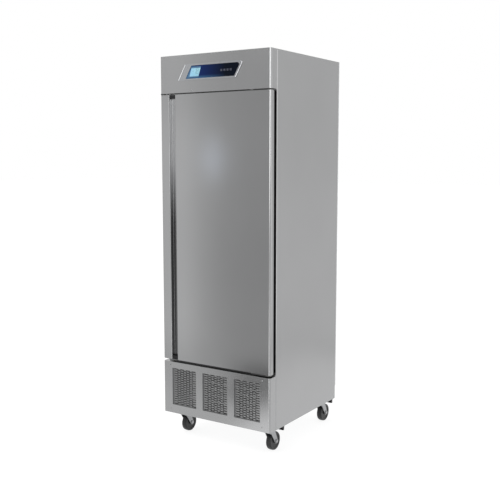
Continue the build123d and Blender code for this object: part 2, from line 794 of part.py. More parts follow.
def door_inner_pan():
    """Inner door sheet: a flange on the frame and a plug that enters the opening."""
    y0 = FRONT + DOOR_METAL_DEPTH + DOOR_FRAME_DEPTH
    x = SIDE - PAN_FLANGE_INSET
    z0 = DOOR_BOTTOM + PAN_FLANGE_INSET
    z1 = DOOR_TOP - PAN_FLANGE_INSET
    pan = block(-x, x, y0, y0 + LINER_T, z0, z1)
    pan += plug_block(0, y0, y0 + PLUG_DEPTH)
    return pan - plug_block(LINER_T, y0, y0 + PLUG_DEPTH - LINER_T)


def door_foam():
    y1 = FRONT + DOOR_METAL_DEPTH
    foam = upright(door_outline(SKIN, y1), DOOR_BOTTOM + SKIN, DOOR_TOP - SKIN)
    for pocket in bush_pockets():
        foam -= pocket
    x = SIDE - DOOR_FRAME_INSET - DOOR_FRAME_WIDTH
    z0 = DOOR_BOTTOM + DOOR_FRAME_INSET + DOOR_FRAME_WIDTH
    z1 = DOOR_TOP - DOOR_FRAME_INSET - DOOR_FRAME_WIDTH
    y2 = y1 + DOOR_FRAME_DEPTH
    foam += block(-x, x, y1, y2, z0, z1)
    return foam + plug_block(LINER_T, y2, y2 + PLUG_DEPTH - LINER_T)


def shelf_levels():
    return [LINER_FLOOR + SHELF_FIRST + i * SHELF_PITCH for i in range(SHELF_COUNT)]


def pilaster_places():
    front = HEADER_BACK + PILASTER_FROM_HEADER
    rear = LINER_BACK - PILASTER_FROM_BACK
    return [(side, y) for side in (-1, 1) for y in (front, rear)]


def pilaster(side, y):
    """Slotted channel screwed to a side wall."""
    z0 = LINER_FLOOR + PILASTER_END_GAP
    z1 = OPEN_TOP - PILASTER_END_GAP
    x0, x1 = sorted((side * OPEN_X, side * (OPEN_X - PILASTER_DEPTH)))
    half = PILASTER_WIDTH / 2
    bar = block(x0, x1, y - half, y + half, z0, z1)
    inner = half - PILASTER_T
    hollow = sorted((side * OPEN_X, side * (OPEN_X - PILASTER_DEPTH + PILASTER_T)))
    bar -= block(hollow[0], hollow[1], y - inner, y + inner, z0, z1)
    slots = Sketch()
    count = int((z1 - z0) / PILASTER_SLOT_PITCH)
    for i in range(count):
        z = z0 + (i + 0.5) * PILASTER_SLOT_PITCH
        slots += Pos(y, z) * Rectangle(PILASTER_SLOT, PILASTER_SLOT_HEIGHT)
    face = sorted((side * (OPEN_X - PILASTER_DEPTH + PILASTER_T), side * (OPEN_X - PILASTER_DEPTH)))
    return bar - sideways(slots, face[0], face[1])


def shelf_clip(side, y, z):
    """A clip hooked on the pilaster, its lip under the shelf rim."""
    x0 = OPEN_X - PILASTER_DEPTH
    shape = polygon(
        [
            (side * x0, z - CLIP_HEIGHT),
            (side * x0, z),
            (side * (x0 - CLIP_REACH), z),
            (side * (x0 - CLIP_REACH), z - CLIP_HEIGHT / 4),
        ]
    )
    return facing(shape, y - CLIP_WIDTH / 2, y + CLIP_WIDTH / 2)


def shelf(z):
    """Wire shelf: two side rods, four cross rods and front-to-back wires."""
    x = OPEN_X - PILASTER_DEPTH - SHELF_SIDE_GAP - SHELF_RIM_R
    y0 = CASING + BREAKER_DEPTH + SHELF_FRONT_GAP
    y1 = y0 + SHELF_DEPTH
    rim_z = z + SHELF_RIM_R + SOFT_CLEARANCE
    rods = []
    for side_x in (-x, x):
        rods.append(rod_y(side_x, y0 - SHELF_RIM_END, y1 + SHELF_RIM_END, rim_z, SHELF_RIM_R))
    for cross_y in (y0, (2 * y0 + y1) / 3, (y0 + 2 * y1) / 3, y1):
        rods.append(rod_x(-x, x, cross_y, rim_z, SHELF_CROSS_R))
    count = int(2 * x / SHELF_WIRE_PITCH)
    wire_z = rim_z + SHELF_WIRE_R
    for i in range(1, count):
        wire_x = -x + i * 2 * x / count
        rods.append(rod_y(wire_x, y0 - SHELF_WIRE_R, y1 + SHELF_WIRE_R, wire_z, SHELF_WIRE_R))
    return rods[0].fuse(*rods[1:])


def fan(x, y, z, radius, width):
    """Axial fan: a hub with a shaft hole and pitched blades, along Y."""
    hub = rod_y(x, y, y + width, z, HUB_R)
    disc = rod_y(x, y, y + width, z, radius)
    blades = []
    for i in range(BLADE_COUNT):
        blade = Pos(0, 0, (radius + HUB_R) / 2) * Rot(0, 0, BLADE_PITCH)
        blade *= Box(radius, BLADE_T, radius - HUB_R + 2 * BLADE_ROOT)
        blade = Pos(x, y + width / 2, z) * Rot(0, i * 360 / BLADE_COUNT, 0) * blade
        blades.append(blade & disc)
    whole = hub.fuse(*blades)
    return whole - rod_y(x, y, y + width, z, SHAFT_R + SHAFT_FIT)


def fan_motor(x, y, z, wall_y, hole_r):
    """Motor behind the fan; its arms reach forward to the wall it hangs from."""
    front = y + FAN_WIDTH + MOTOR_GAP
    motor = rod_y(x, front, front + MOTOR_LENGTH, z, MOTOR_R)
    motor += rod_y(x, y + SHAFT_INSET, front, z, SHAFT_R)
    low = z - MOTOR_ARM_WIDTH / 2
    high = z + MOTOR_ARM_WIDTH / 2
    foot = hole_r + MOTOR_FOOT_GAP
    bar_y = front + MOTOR_ARM_T
    for sign in (-1, 1):
        near, far = sorted((x + sign * MOTOR_R / 2, x + sign * (foot + MOTOR_ARM_T)))
        motor += block(near, far, front, bar_y, low, high)
        near, far = sorted((x + sign * foot, x + sign * (foot + MOTOR_ARM_T)))
        motor += block(near, far, wall_y, bar_y, low, high)
    return motor


CONDENSER_Y = FRONT + CONDENSER_SETBACK
SHROUD_Y = CONDENSER_Y + CONDENSER_DEPTH
FAN_Y = SHROUD_Y + SHROUD_DEPTH - FAN_WIDTH / 2


def fin_coil(x, y0, y1, z0, z1, width, pitch, fin_t, rows):
    """Tubes along X through upright fins, with a plate at each end."""
    half = width / 2
    pieces = []
    count = int(width / pitch)
    for i in range(count + 1):
        fin_x = x - half + i * width / count
        thick = fin_t if 0 < i < count else fin_t * 2
        pieces.append(block(fin_x - thick / 2, fin_x + thick / 2, y0, y1, z0, z1))
    gap = (z1 - z0) / rows
    for row in range(rows):
        for y in ((3 * y0 + y1) / 4, (y0 + 3 * y1) / 4):
            z = z0 + (row + 0.5) * gap
            end = half + COIL_TUBE_END
            pieces.append(rod_x(x - end, x + end, y, z, COIL_TUBE_R))
    return pieces[0].fuse(*pieces[1:])


def condenser_coil():
    low = FRAME_TOP + CONDENSER_LIFT
    coil = fin_coil(
        0, CONDENSER_Y, SHROUD_Y, low, low + CONDENSER_HEIGHT,
        CONDENSER_WIDTH, CONDENSER_FIN_PITCH, CONDENSER_FIN_T, CONDENSER_ROWS,
    )
    half = CONDENSER_WIDTH / 2
    t = CONDENSER_FIN_T
    for x in (-half, half):
        coil += block(x - t, x + t, CONDENSER_Y, SHROUD_Y, FRAME_TOP, low + CONDENSER_HEIGHT)
    return coil


def fan_shroud():
    """Sheet box between condenser and fan, with a round outlet."""
    z0 = FRAME_TOP
    z1 = z0 + SHROUD_HEIGHT
    half = CONDENSER_WIDTH / 2 + SHROUD_T
    y1 = SHROUD_Y + SHROUD_DEPTH
    shell = block(-half, half, SHROUD_Y, y1, z0, z1)
    t = SHROUD_T
    shell -= block(-half + t, half - t, SHROUD_Y, y1 - t, z0 + t, z1 - t)
    return shell - rod_y(0, y1 - 2 * t, y1 + t, FAN_Z, FAN_R + FAN_CLEARANCE)


def compressor():
    """Hermetic shell on a foot plate with four rubber feet."""
    x = COMPRESSOR_X
    y = REAR - COMPRESSOR_FROM_BACK
    plate_z = FRAME_TOP + COMPRESSOR_LIFT
    plate_top = plate_z + COMPRESSOR_PLATE_T
    half_x = COMPRESSOR_PLATE_X / 2
    half_y = COMPRESSOR_PLATE_Y / 2
    body = block(x - half_x, x + half_x, y - half_y, y + half_y, plate_z, plate_top)
    shell = rod_z(x, y, plate_z, plate_z + COMPRESSOR_HEIGHT, COMPRESSOR_R)
    shell = fillet(shell.edges().filter_by(GeomType.CIRCLE), COMPRESSOR_DOME_R)
    seam_z = plate_z + COMPRESSOR_SEAM_RISE
    seam_r = COMPRESSOR_R + COMPRESSOR_SEAM_PROUD
    seam = rod_z(x, y, seam_z, seam_z + COMPRESSOR_SEAM_T, seam_r)
    body = body.fuse(shell, seam)
    for sx in (-1, 1):
        for sy in (-1, 1):
            foot_x = x + sx * (half_x - COMPRESSOR_FOOT_INSET)
            foot_y = y + sy * (half_y - COMPRESSOR_FOOT_INSET)
            foot_top = plate_top + COMPRESSOR_FOOT_PROUD
            body += rod_z(foot_x, foot_y, FRAME_TOP, foot_top, COMPRESSOR_FOOT_R)
    half = TERMINAL_WIDTH / 2
    box_z = plate_z + TERMINAL_RISE
    reach = x + COMPRESSOR_R + TERMINAL_REACH
    return body + block(x, reach, y - half, y + half, box_z, box_z + TERMINAL_HEIGHT)


def tube(points, radius, bend):
    path = FilletPolyline(*points, radius=bend)
    start = Plane(origin=path @ 0, z_dir=path % 0)
    return sweep(start * Circle(radius), path=path)


def refrigerant_tubes():
    """Discharge line to the condenser and liquid line with its drier."""
    y = REAR - COMPRESSOR_FROM_BACK
    z = FRAME_TOP + COMPRESSOR_LIFT + COMPRESSOR_PORT
    row = CONDENSER_HEIGHT / CONDENSER_ROWS
    low_z = FRAME_TOP + CONDENSER_LIFT + row / 2
    top_z = low_z + row * (CONDENSER_ROWS - 1)
    end_y = (CONDENSER_Y + 3 * SHROUD_Y) / 4
    end_x = CONDENSER_WIDTH / 2 + COIL_TUBE_END
    out_x = end_x + TUBE_RUN
    start_x = COMPRESSOR_X - COMPRESSOR_R
    route = [
        (start_x, y, z),
        (-out_x, y, z),
        (-out_x, y, top_z),
        (-out_x, end_y, top_z),
        (-end_x, end_y, top_z),
    ]
    discharge = tube(route, TUBE_R, TUBE_BEND)
    drier_y = end_y + 3 * TUBE_RUN
    rise_y = drier_y + DRIER_LENGTH + 2 * TUBE_RUN
    route = [
        (end_x, end_y, low_z),
        (out_x, end_y, low_z),
        (out_x, rise_y, low_z),
        (out_x, rise_y, DECK - DECK_T),
    ]
    line = tube(route, TUBE_R, TUBE_BEND)
    line += rod_y(out_x, drier_y, drier_y + DRIER_LENGTH, low_z, DRIER_R)
    return [discharge, line]


EVAP_Y0 = HEADER_BACK + EVAP_FRONT_GAP
EVAP_Y1 = EVAP_Y0 + EVAP_DEPTH
EVAP_Z0 = LINER_TOP - EVAP_HEIGHT
EVAP_FAN_Z = LINER_TOP - EVAP_HEIGHT / 2
EVAP_FAN_Y = EVAP_Y0 + EVAP_FAN_SETBACK


def evaporator_housing():
    """Sheet hood hung from the ceiling, fan hole in front, slot at the rear."""
    half = EVAP_WIDTH / 2
    t = SKIN
    hood = block(-half, half, EVAP_Y0, EVAP_Y1, EVAP_Z0, LINER_TOP)
    hood -= block(-half + t, half - t, EVAP_Y0 + t, EVAP_Y1 - t, EVAP_Z0 + t, LINER_TOP)
    hood -= rod_y(0, EVAP_Y0 - t, EVAP_Y0 + 2 * t, EVAP_FAN_Z, EVAP_FAN_R + EVAP_FAN_CLEARANCE)
    outlet = RectangleRounded(EVAP_OUTLET_WIDTH, EVAP_OUTLET_HEIGHT, EVAP_OUTLET_R)
    return hood - facing(Pos(0, EVAP_FAN_Z) * outlet, EVAP_Y1 - 2 * t, EVAP_Y1 + t)


def evaporator_coil():
    y1 = EVAP_Y1 - EVAP_REAR_GAP
    return fin_coil(
        0, y1 - EVAP_COIL_DEPTH, y1, EVAP_Z0 + SKIN, LINER_TOP,
        EVAP_WIDTH - 2 * EVAP_COIL_MARGIN, EVAP_FIN_PITCH, EVAP_FIN_T, EVAP_ROWS,
    )


def base_frame():
    """Floor pan of the machine compartment with its upstands."""
    half = SIDE - SKIN
    y0 = FRONT + FRAME_LIP
    t = FRAME_T
    pan = block(-half, half, y0, BACK, BOTTOM, BOTTOM + t)
    for x0 in (-half, half - t):
        pan += block(x0, x0 + t, SEAM, BACK, BOTTOM, BOTTOM + FRAME_UPSTAND)
    pan += block(-half, half, y0, y0 + t, BOTTOM, BOTTOM + FRAME_UPSTAND)
    pan += block(-half, half, BACK - t, BACK, BOTTOM, BOTTOM + BACK_STEP_HEIGHT)
    x = SIDE - GLAND_FROM_SIDE
    hole = rod_y(x, BACK - 2 * t, BACK + t, BOTTOM + GLAND_RISE, GLAND_NECK_R)
    return pan - hole


def power_gland():
    """Bushing in the rear upstand for the supply cord."""
    x = SIDE - GLAND_FROM_SIDE
    z = BOTTOM + GLAND_RISE
    inner = BACK - FRAME_T - GLAND_NECK_PROUD
    outer = BACK + GLAND_PROUD
    gland = rod_y(x, BACK, outer, z, GLAND_R)
    gland += rod_y(x, inner, BACK, z, GLAND_NECK_R)
    return gland - rod_y(x, inner, outer, z, GLAND_BORE_R)


def caster_places():
    x = SIDE - CASTER_INSET_X
    front = FRONT + FRONT_CASTER_INSET
    rear = REAR - REAR_CASTER_INSET
    return {
        "front_left": (-x, front),
        "front_right": (x, front),
        "rear_left": (-x, rear),
        "rear_right": (x, rear),
    }


RACE_BOTTOM = CASTER_HEIGHT - PLATE_T - RACE_T
CROWN_TOP = RACE_BOTTOM - CASTER_GAP
CROWN_BOTTOM = CROWN_TOP - CROWN_T


def caster_plate(x, y):
    """Top plate, ball race cover and kingpin with its head."""
    z1 = CASTER_HEIGHT
    plan = Pos(x, y) * RectangleRounded(PLATE_X, PLATE_Y, PLATE_R)
    plate = upright(plan, z1 - PLATE_T, z1)
    plate += rod_z(x, y, RACE_BOTTOM, z1 - PLATE_T, RACE_R)
    head_top = CROWN_BOTTOM - CASTER_GAP
    plate += rod_z(x, y, head_top, RACE_BOTTOM, KINGPIN_R)
    return plate + rod_z(x, y, head_top - KINGPIN_HEAD_T, head_top, KINGPIN_HEAD_R)


def caster_fork(x, y):
    """Crown and two raked legs, with the axle held between them."""
    fork = rod_z(x, y, CROWN_BOTTOM, CROWN_TOP, CROWN_R)
    ear_y = y + PEDAL_PIVOT_Y
    ear_half = PEDAL_ARM_WIDTH / 2 + CASTER_GAP
    pivot_z = CROWN_TOP - PEDAL_PIVOT_DROP
    leg_x = WHEEL_WIDTH / 2 + LEG_GAP
    axle_y = y + CASTER_TRAIL
    half = LEG_TOP_WIDTH / 2
    top = Pos(y, CROWN_BOTTOM + CROWN_T / 2) * Rectangle(LEG_TOP_WIDTH, CROWN_T)
    eye = Pos(axle_y, WHEEL_R) * Circle(LEG_EYE_R)
    leg = make_hull((top + eye).edges())
    for side in (-1, 1):
        near = x + side * leg_x
        far = near + side * LEG_T
        x0, x1 = sorted((near, far))
        fork += sideways(leg, x0, x1)
        x0, x1 = sorted((x + side * ear_half, x + side * (ear_half + PEDAL_EAR_T)))
        ear = block(x0, x1, y + half / 2, ear_y, pivot_z - PEDAL_EYE_R, CROWN_TOP)
        ear += rod_x(x0, x1, ear_y, pivot_z, PEDAL_EYE_R)
        ear += block(x0, x1, ear_y, ear_y + PEDAL_EYE_R, pivot_z, CROWN_TOP)
        fork += ear
    fork += rod_x(x - ear_half, x + ear_half, ear_y, pivot_z, PEDAL_PIN_R)
    fork -= rod_z(x, y, CROWN_BOTTOM - 1, CROWN_TOP + 1, KINGPIN_R + CASTER_FIT)
    out = leg_x + LEG_T
    fork += rod_x(x - out, x + out, axle_y, WHEEL_R, AXLE_R)
    for side in (-1, 1):
        x0, x1 = sorted((x + side * out, x + side * (out + AXLE_HEAD_T)))
        fork += rod_x(x0, x1, axle_y, WHEEL_R, AXLE_HEAD_R)
    return fork


def caster_wheel(x, y):
    """Tyre and dished hub on the axle."""
    axle_y = y + CASTER_TRAIL
    half = WHEEL_WIDTH / 2
    wheel = rod_x(x - half, x + half, axle_y, WHEEL_R, WHEEL_R)
    rims = wheel.edges().filter_by(GeomType.CIRCLE)
    wheel = fillet(rims, TYRE_ROUND)
    for side in (-1, 1):
        x0, x1 = sorted((x + side * half, x + side * (half - HUB_DISH)))
        dish = rod_x(x0, x1, axle_y, WHEEL_R, HUB_DISH_R)
        dish -= rod_x(x0, x1, axle_y, WHEEL_R, HUB_EYE_R)
        wheel -= dish
        boss = x + side * (half + LEG_GAP - CASTER_GAP)
        x0, x1 = sorted((x + side * half, boss))
        wheel += rod_x(x0, x1, axle_y, WHEEL_R, HUB_BOSS_R)
    bore = half + LEG_GAP
    return wheel - rod_x(x - bore, x + bore, axle_y, WHEEL_R, AXLE_R + CASTER_FIT)


def brake_pedal(x, y):
    """Lever on the pin behind the crown: a wide foot pad and a brake shoe."""
    pivot_y = y + PEDAL_PIVOT_Y
    pivot_z = CROWN_TOP - PEDAL_PIVOT_DROP
    tip_y = y + PEDAL_REACH
    tip_z = pivot_z - PEDAL_TIP_DROP
    pad_y = tip_y - PEDAL_PAD_LENGTH
    slope = -PEDAL_TIP_DROP / (tip_y - pivot_y)
    half_t = PEDAL_T / 2
    side = polygon(
        [
            (pivot_y, pivot_z - half_t),
            (tip_y, tip_z - half_t),
            (tip_y, tip_z + half_t),
            (pivot_y, pivot_z + half_t),
        ]
    )
    half_arm = PEDAL_ARM_WIDTH / 2
    lever = sideways(side, x - half_arm, x + half_arm)
    pad_z = pivot_z + slope * (pad_y - pivot_y)
    pad = polygon(
        [
            (pad_y, pad_z - half_t),
            (tip_y, tip_z - half_t),
            (tip_y, tip_z + half_t),
            (pad_y, pad_z + half_t),
        ]
    )
    lever += sideways(pad, x - PEDAL_WIDTH / 2, x + PEDAL_WIDTH / 2)
    lever += rod_x(x - half_arm, x + half_arm, pivot_y, pivot_z, PEDAL_EYE_R)
    shoe_y = pivot_y + PEDAL_EYE_R
    shoe_end = shoe_y + PEDAL_SHOE_LENGTH
    shoe_z = pivot_z - PEDAL_SHOE_DROP
    half = PEDAL_SHOE_WIDTH / 2
    lever += block(x - half, x + half, shoe_y, shoe_end, shoe_z, pivot_z)
    bore = PEDAL_PIN_R + CASTER_FIT
    return lever - rod_x(x - PEDAL_WIDTH, x + PEDAL_WIDTH, pivot_y, pivot_z, bore)


def make_cabinet():
    nodes["side_panel_left"] = side_panel(-SIDE)
    nodes["side_panel_right"] = side_panel(SIDE - SKIN)
    nodes["top_panel"] = block(-SIDE, SIDE, SEAM, BACK, TOP - SKIN, TOP)
    nodes["back_panel"] = back_panel()
    nodes["front_frame"] = front_frame()
    nodes["breaker_strips"] = group(breaker_strips())
    nodes["liner"] = group(liner_panels())
    nodes["foam_insulation"] = foam_insulation()
    nodes["base_frame"] = base_frame()
    deck = (CASING + SKIN, BACK, DECK - DECK_T, DECK)
    nodes["deck_panel"] = block(-SIDE + SKIN, SIDE - SKIN, *deck)
    nodes["power_gland"] = power_gland()


def make_covers():
    nodes["fascia"] = fascia()
    nodes["grille_panel"] = grille_panel()
    nodes["grille_screens"] = group(grille_screen(x) for x in window_places())
    nodes["cover_screws"] = group(cover_screw(*place) for place in cover_screw_places())


def make_display():
    nodes["display_bezel"] = display_bezel()
    nodes["display_panel"] = display_panel()
    nodes["display_window"] = display_window()
    nodes["controller_box"] = controller_box()
    for i, (x, z) in enumerate(key_centres()):
        nodes[f"key_{i + 1}"] = key(x, z)


def make_door():
    nodes["hinge_top"] = hinge_top()
    nodes["hinge_bottom"] = hinge_bottom()
    nodes["door_skin"] = door_skin()
    nodes["door_frame"] = door_frame()
    nodes["door_gasket"] = door_gasket()
    nodes["door_inner_pan"] = door_inner_pan()
    nodes["door_foam"] = door_foam()
    low = groove_end_cap(DOOR_BOTTOM + SKIN, DOOR_BOTTOM + SKIN + GROOVE_CAP_HEIGHT)
    high = groove_end_cap(DOOR_TOP - SKIN - GROOVE_CAP_HEIGHT, DOOR_TOP - SKIN)
    nodes["groove_end_caps"] = group([low, high])
    nodes["hinge_bushes"] = group([hinge_bush(DOOR_BOTTOM, 1), hinge_bush(DOOR_TOP, -1)])


def make_interior():
    nodes["pilasters"] = group(pilaster(*place) for place in pilaster_places())
    clips = [shelf_clip(*place, z) for z in shelf_levels() for place in pilaster_places()]
    nodes["shelf_clips"] = group(clips)
    for name, z in zip(("shelf_lower", "shelf_middle", "shelf_upper"), shelf_levels()):
        nodes[name] = shelf(z)
    nodes["evaporator_housing"] = evaporator_housing()
    nodes["evaporator_coil"] = evaporator_coil()
    nodes["evaporator_fan"] = fan(0, EVAP_FAN_Y, EVAP_FAN_Z, EVAP_FAN_R, FAN_WIDTH)
    hole_r = EVAP_FAN_R + EVAP_FAN_CLEARANCE
    motor = fan_motor(0, EVAP_FAN_Y, EVAP_FAN_Z, EVAP_Y0 + SKIN, hole_r)
    nodes["evaporator_fan_motor"] = motor


def make_machine():
    nodes["condenser_coil"] = condenser_coil()
    nodes["fan_shroud"] = fan_shroud()
    nodes["condenser_fan"] = fan(0, FAN_Y, FAN_Z, FAN_R, FAN_WIDTH)
    wall = SHROUD_Y + SHROUD_DEPTH
    nodes["condenser_fan_motor"] = fan_motor(0, FAN_Y, FAN_Z, wall, FAN_R + FAN_CLEARANCE)
    nodes["compressor"] = compressor()
    nodes["refrigerant_tubes"] = group(refrigerant_tubes())


def make_casters():
    """Four swivel casters, all trailing towards the rear."""
    places = caster_places()
    nodes["caster_plates"] = group(caster_plate(*place) for place in places.values())
    for corner, place in places.items():
        nodes[f"caster_fork_{corner}"] = caster_fork(*place)
        nodes[f"caster_wheel_{corner}"] = caster_wheel(*place)
        nodes[f"brake_pedal_{corner}"] = brake_pedal(*place)


make_cabinet()
make_covers()
make_display()
make_door()
make_interior()
make_machine()
make_casters()

for name, shape in nodes.items():
    export_step(shape, f"parts/{name}.step")
print(len(nodes), "nodes written")
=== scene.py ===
import json
import math

import bmesh
import bpy
from mathutils import Matrix, Vector

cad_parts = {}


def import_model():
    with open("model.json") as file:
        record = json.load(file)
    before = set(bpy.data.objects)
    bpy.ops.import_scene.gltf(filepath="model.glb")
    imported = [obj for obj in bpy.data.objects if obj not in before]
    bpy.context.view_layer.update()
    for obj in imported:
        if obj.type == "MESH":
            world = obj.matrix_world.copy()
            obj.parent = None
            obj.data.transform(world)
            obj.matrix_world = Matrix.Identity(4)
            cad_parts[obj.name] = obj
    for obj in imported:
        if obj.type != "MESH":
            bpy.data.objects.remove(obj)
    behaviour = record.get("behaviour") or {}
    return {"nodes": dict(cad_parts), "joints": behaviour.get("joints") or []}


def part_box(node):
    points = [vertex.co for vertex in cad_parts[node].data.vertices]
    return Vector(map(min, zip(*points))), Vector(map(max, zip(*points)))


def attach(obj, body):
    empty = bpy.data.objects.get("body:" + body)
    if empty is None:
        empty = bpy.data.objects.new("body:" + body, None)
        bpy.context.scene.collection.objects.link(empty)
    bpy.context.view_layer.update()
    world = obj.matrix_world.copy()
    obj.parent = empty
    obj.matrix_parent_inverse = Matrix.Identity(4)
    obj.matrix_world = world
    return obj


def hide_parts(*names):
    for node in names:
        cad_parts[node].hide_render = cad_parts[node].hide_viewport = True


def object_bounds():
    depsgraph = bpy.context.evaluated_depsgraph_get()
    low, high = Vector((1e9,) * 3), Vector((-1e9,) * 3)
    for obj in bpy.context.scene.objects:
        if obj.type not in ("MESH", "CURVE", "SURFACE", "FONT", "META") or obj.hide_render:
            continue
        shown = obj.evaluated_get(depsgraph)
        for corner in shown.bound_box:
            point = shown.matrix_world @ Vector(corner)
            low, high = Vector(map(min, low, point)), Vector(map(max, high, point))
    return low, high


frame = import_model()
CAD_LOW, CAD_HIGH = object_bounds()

# Metres, in the frame of the model: +Z up, the door faces -Y.
MM = 0.001
NODES = frame["nodes"]
CORNERS = ("front_left", "front_right", "rear_left", "rear_right")
CAD_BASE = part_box("base_frame")[0].z
WHITE = (1.0, 1.0, 1.0)


def add_object(name, data):
    made = bpy.data.objects.new(name, data)
    bpy.context.scene.collection.objects.link(made)
    return made


def round_turn(steps):
    """Equal angles round a full turn."""
    return [2 * math.pi * k / steps for k in range(steps)]


def math_node(tree, operation, a, b):
    """One Math node between a and b, each a number or an output."""
    made = tree.nodes.new("ShaderNodeMath")
    made.operation = operation
    for socket, value in zip(made.inputs, (a, b)):
        if isinstance(value, float):
            socket.default_value = value
        else:
            tree.links.new(value, socket)
    return made.outputs["Value"]


def mix_node(tree, factor, a, b):
    """A colour between a and b, each a colour or an output."""
    made = tree.nodes.new("ShaderNodeMix")
    made.data_type = "RGBA"
    tree.links.new(factor, made.inputs["Factor"])
    sockets = [s for s in made.inputs if s.type == "RGBA"]
    for socket, color in zip(sockets, (a, b)):
        if isinstance(color, tuple):
            socket.default_value = (*color, 1.0)
        else:
            tree.links.new(color, socket)
    return next(s for s in made.outputs if s.type == "RGBA")


# Shader building

class Finish:
    """One Principled material, with short calls that add its texture nodes."""

    def __init__(self, name, color, roughness, metallic=0.0, **sockets):
        self.material = bpy.data.materials.new(name)
        self.material.use_nodes = True
        self.tree = self.material.node_tree
        self.shader = self.tree.nodes["Principled BSDF"]
        self.shader.inputs["Base Color"].default_value = (*color, 1.0)
        self.shader.inputs["Roughness"].default_value = roughness
        self.shader.inputs["Metallic"].default_value = metallic
        for socket, value in sockets.items():
            self.shader.inputs[socket.replace("_", " ")].default_value = value
        self.place = self.tree.nodes.new("ShaderNodeTexCoord").outputs["Object"]
        self.normal = None

    def node(self, kind, links=(), **values):
        """Adds a node, sets its inputs by name and links the given outputs into it."""
        made = self.tree.nodes.new(kind)
        for key, value in values.items():
            socket = key.replace("_", " ")
            if socket in made.inputs:
                made.inputs[socket].default_value = value
            else:
                setattr(made, key, value)
        for socket, output in links:
            self.tree.links.new(output, made.inputs[socket])
        return made

    def axes(self):
        """The X, Y and Z of the point on the surface."""
        return self.node("ShaderNodeSeparateXYZ", [("Vector", self.place)]).outputs

    def scaled(self, scale):
        links = [("Vector", self.place)]
        return self.node("ShaderNodeMapping", links, Scale=scale).outputs["Vector"]

    def noise(self, scale, detail=2.0, vector=None, rough=0.5):
        links = [("Vector", vector or self.place)]
        made = self.node("ShaderNodeTexNoise", links, Scale=scale, Detail=detail, Roughness=rough)
        return made.outputs["Fac"]

    def cells(self, scale, vector=None, output="Distance", feature="F1"):
        links = [("Vector", vector or self.place)]
        made = self.node("ShaderNodeTexVoronoi", links, feature=feature, Scale=scale)
        return made.outputs[output]

    def spread(self, value, low, high, start=0.0, end=1.0):
        """Maps a value from start..end to low..high."""
        made = self.node(
            "ShaderNodeMapRange", [("Value", value)],
            From_Min=start, From_Max=end, To_Min=low, To_Max=high)
        return made.outputs["Result"]

    def sum(self, a, b):
        return math_node(self.tree, "ADD", a, b)

    def times(self, a, b):
        return math_node(self.tree, "MULTIPLY", a, b)

    def mix(self, factor, a, b):
        return mix_node(self.tree, factor, a, b)

    def set(self, socket, output):
        self.tree.links.new(output, self.shader.inputs[socket])

    def bump(self, height, distance):
        """Lays one more height map over the surface."""
        made = self.node("ShaderNodeBump", [("Height", height)], Strength=1.0, Distance=distance)
        if self.normal is not None:
            self.tree.links.new(self.normal, made.inputs["Normal"])
        self.normal = made.outputs["Normal"]
        self.set("Normal", self.normal)


def shade(color, factor):
    return tuple(c * factor for c in color)


# Finishes

STEEL = (0.312, 0.314, 0.317)

# The door's grip, where shade is painted into the steel's colour: its sides, how dark the painted shade
# is, and where it fades out.
GROOVE_LEFT = -300.0 * MM
GROOVE_RIGHT = -240.0 * MM
GROOVE_PAINTED_SHADE = 0.5
GROOVE_SHADE_FULL_BELOW = 1200.0 * MM
GROOVE_UNSHADED_ABOVE = 1520.0 * MM


def groove_painted_shade_mask(f):
    """Painted shade mask: 1 down in the door's grip, fading out towards its upper third; 0 on the rest of
    the door.
    """
    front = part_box("door_skin")[0].y
    soft = 5.0 * MM
    axes = f.axes()
    right_of = f.spread(axes["X"], 0.0, 1.0, GROOVE_LEFT, GROOVE_LEFT + soft)
    left_of = f.spread(axes["X"], 1.0, 0.0, GROOVE_RIGHT - soft, GROOVE_RIGHT)
    deep = f.spread(axes["Y"], 0.0, 1.0, front + 6.0 * MM, front + 16.0 * MM)
    below = f.spread(axes["Z"], 1.0, 0.0, GROOVE_SHADE_FULL_BELOW, GROOVE_UNSHADED_ABOVE)
    return f.times(f.times(right_of, left_of), f.times(deep, below))


def brushed_steel(name, color, roughness, grain, painted_shade_mask=None):
    """Satin sheet: fine grain along one axis, faint clouding and a slight ripple."""
    f = Finish(name, color, roughness, metallic=1.0)
    lines = f.noise(1.0, 3.0, f.scaled(grain), 0.6)
    clouds = f.noise(2.6, 3.0)
    smudges = f.noise(11.0, 4.0, rough=0.6)
    tint = f.sum(f.spread(lines, -0.5, 0.5), f.spread(clouds, -0.5, 0.5))
    sheet = f.mix(f.spread(tint, 0.0, 1.0, -0.6, 0.6), shade(color, 0.95), shade(color, 1.05))
    # Painted shade: the grip's recess is darkened in the base colour by the mask, in place of the shade it
    # lies in.
    if painted_shade_mask:
        sheet = f.mix(painted_shade_mask(f), sheet, shade(color, GROOVE_PAINTED_SHADE))
    f.set("Base Color", sheet)
    uneven = f.spread(smudges, roughness - 0.02, roughness + 0.02)
    f.set("Roughness", f.sum(f.spread(lines, -0.03, 0.03), uneven))
    f.bump(f.noise(1.7, 1.0), 0.35 * MM)
    f.bump(lines, 0.012 * MM)
    return f.material


def spangled_zinc(name, color, roughness):
    """Hot-dip galvanised sheet with its crystal spangle."""
    f = Finish(name, color, roughness, metallic=0.95)
    warped = f.cells(85.0, output="Color")
    grey = f.tree.nodes.new("ShaderNodeRGBToBW")
    f.tree.links.new(warped, grey.inputs["Color"])
    crystal = grey.outputs["Val"]
    f.set("Base Color", f.mix(crystal, shade(color, 0.84), shade(color, 1.12)))
    f.set("Roughness", f.spread(crystal, roughness - 0.07, roughness + 0.1))
    f.bump(crystal, 0.02 * MM)
    f.bump(f.noise(3.0, 2.0), 0.3 * MM)
    return f.material


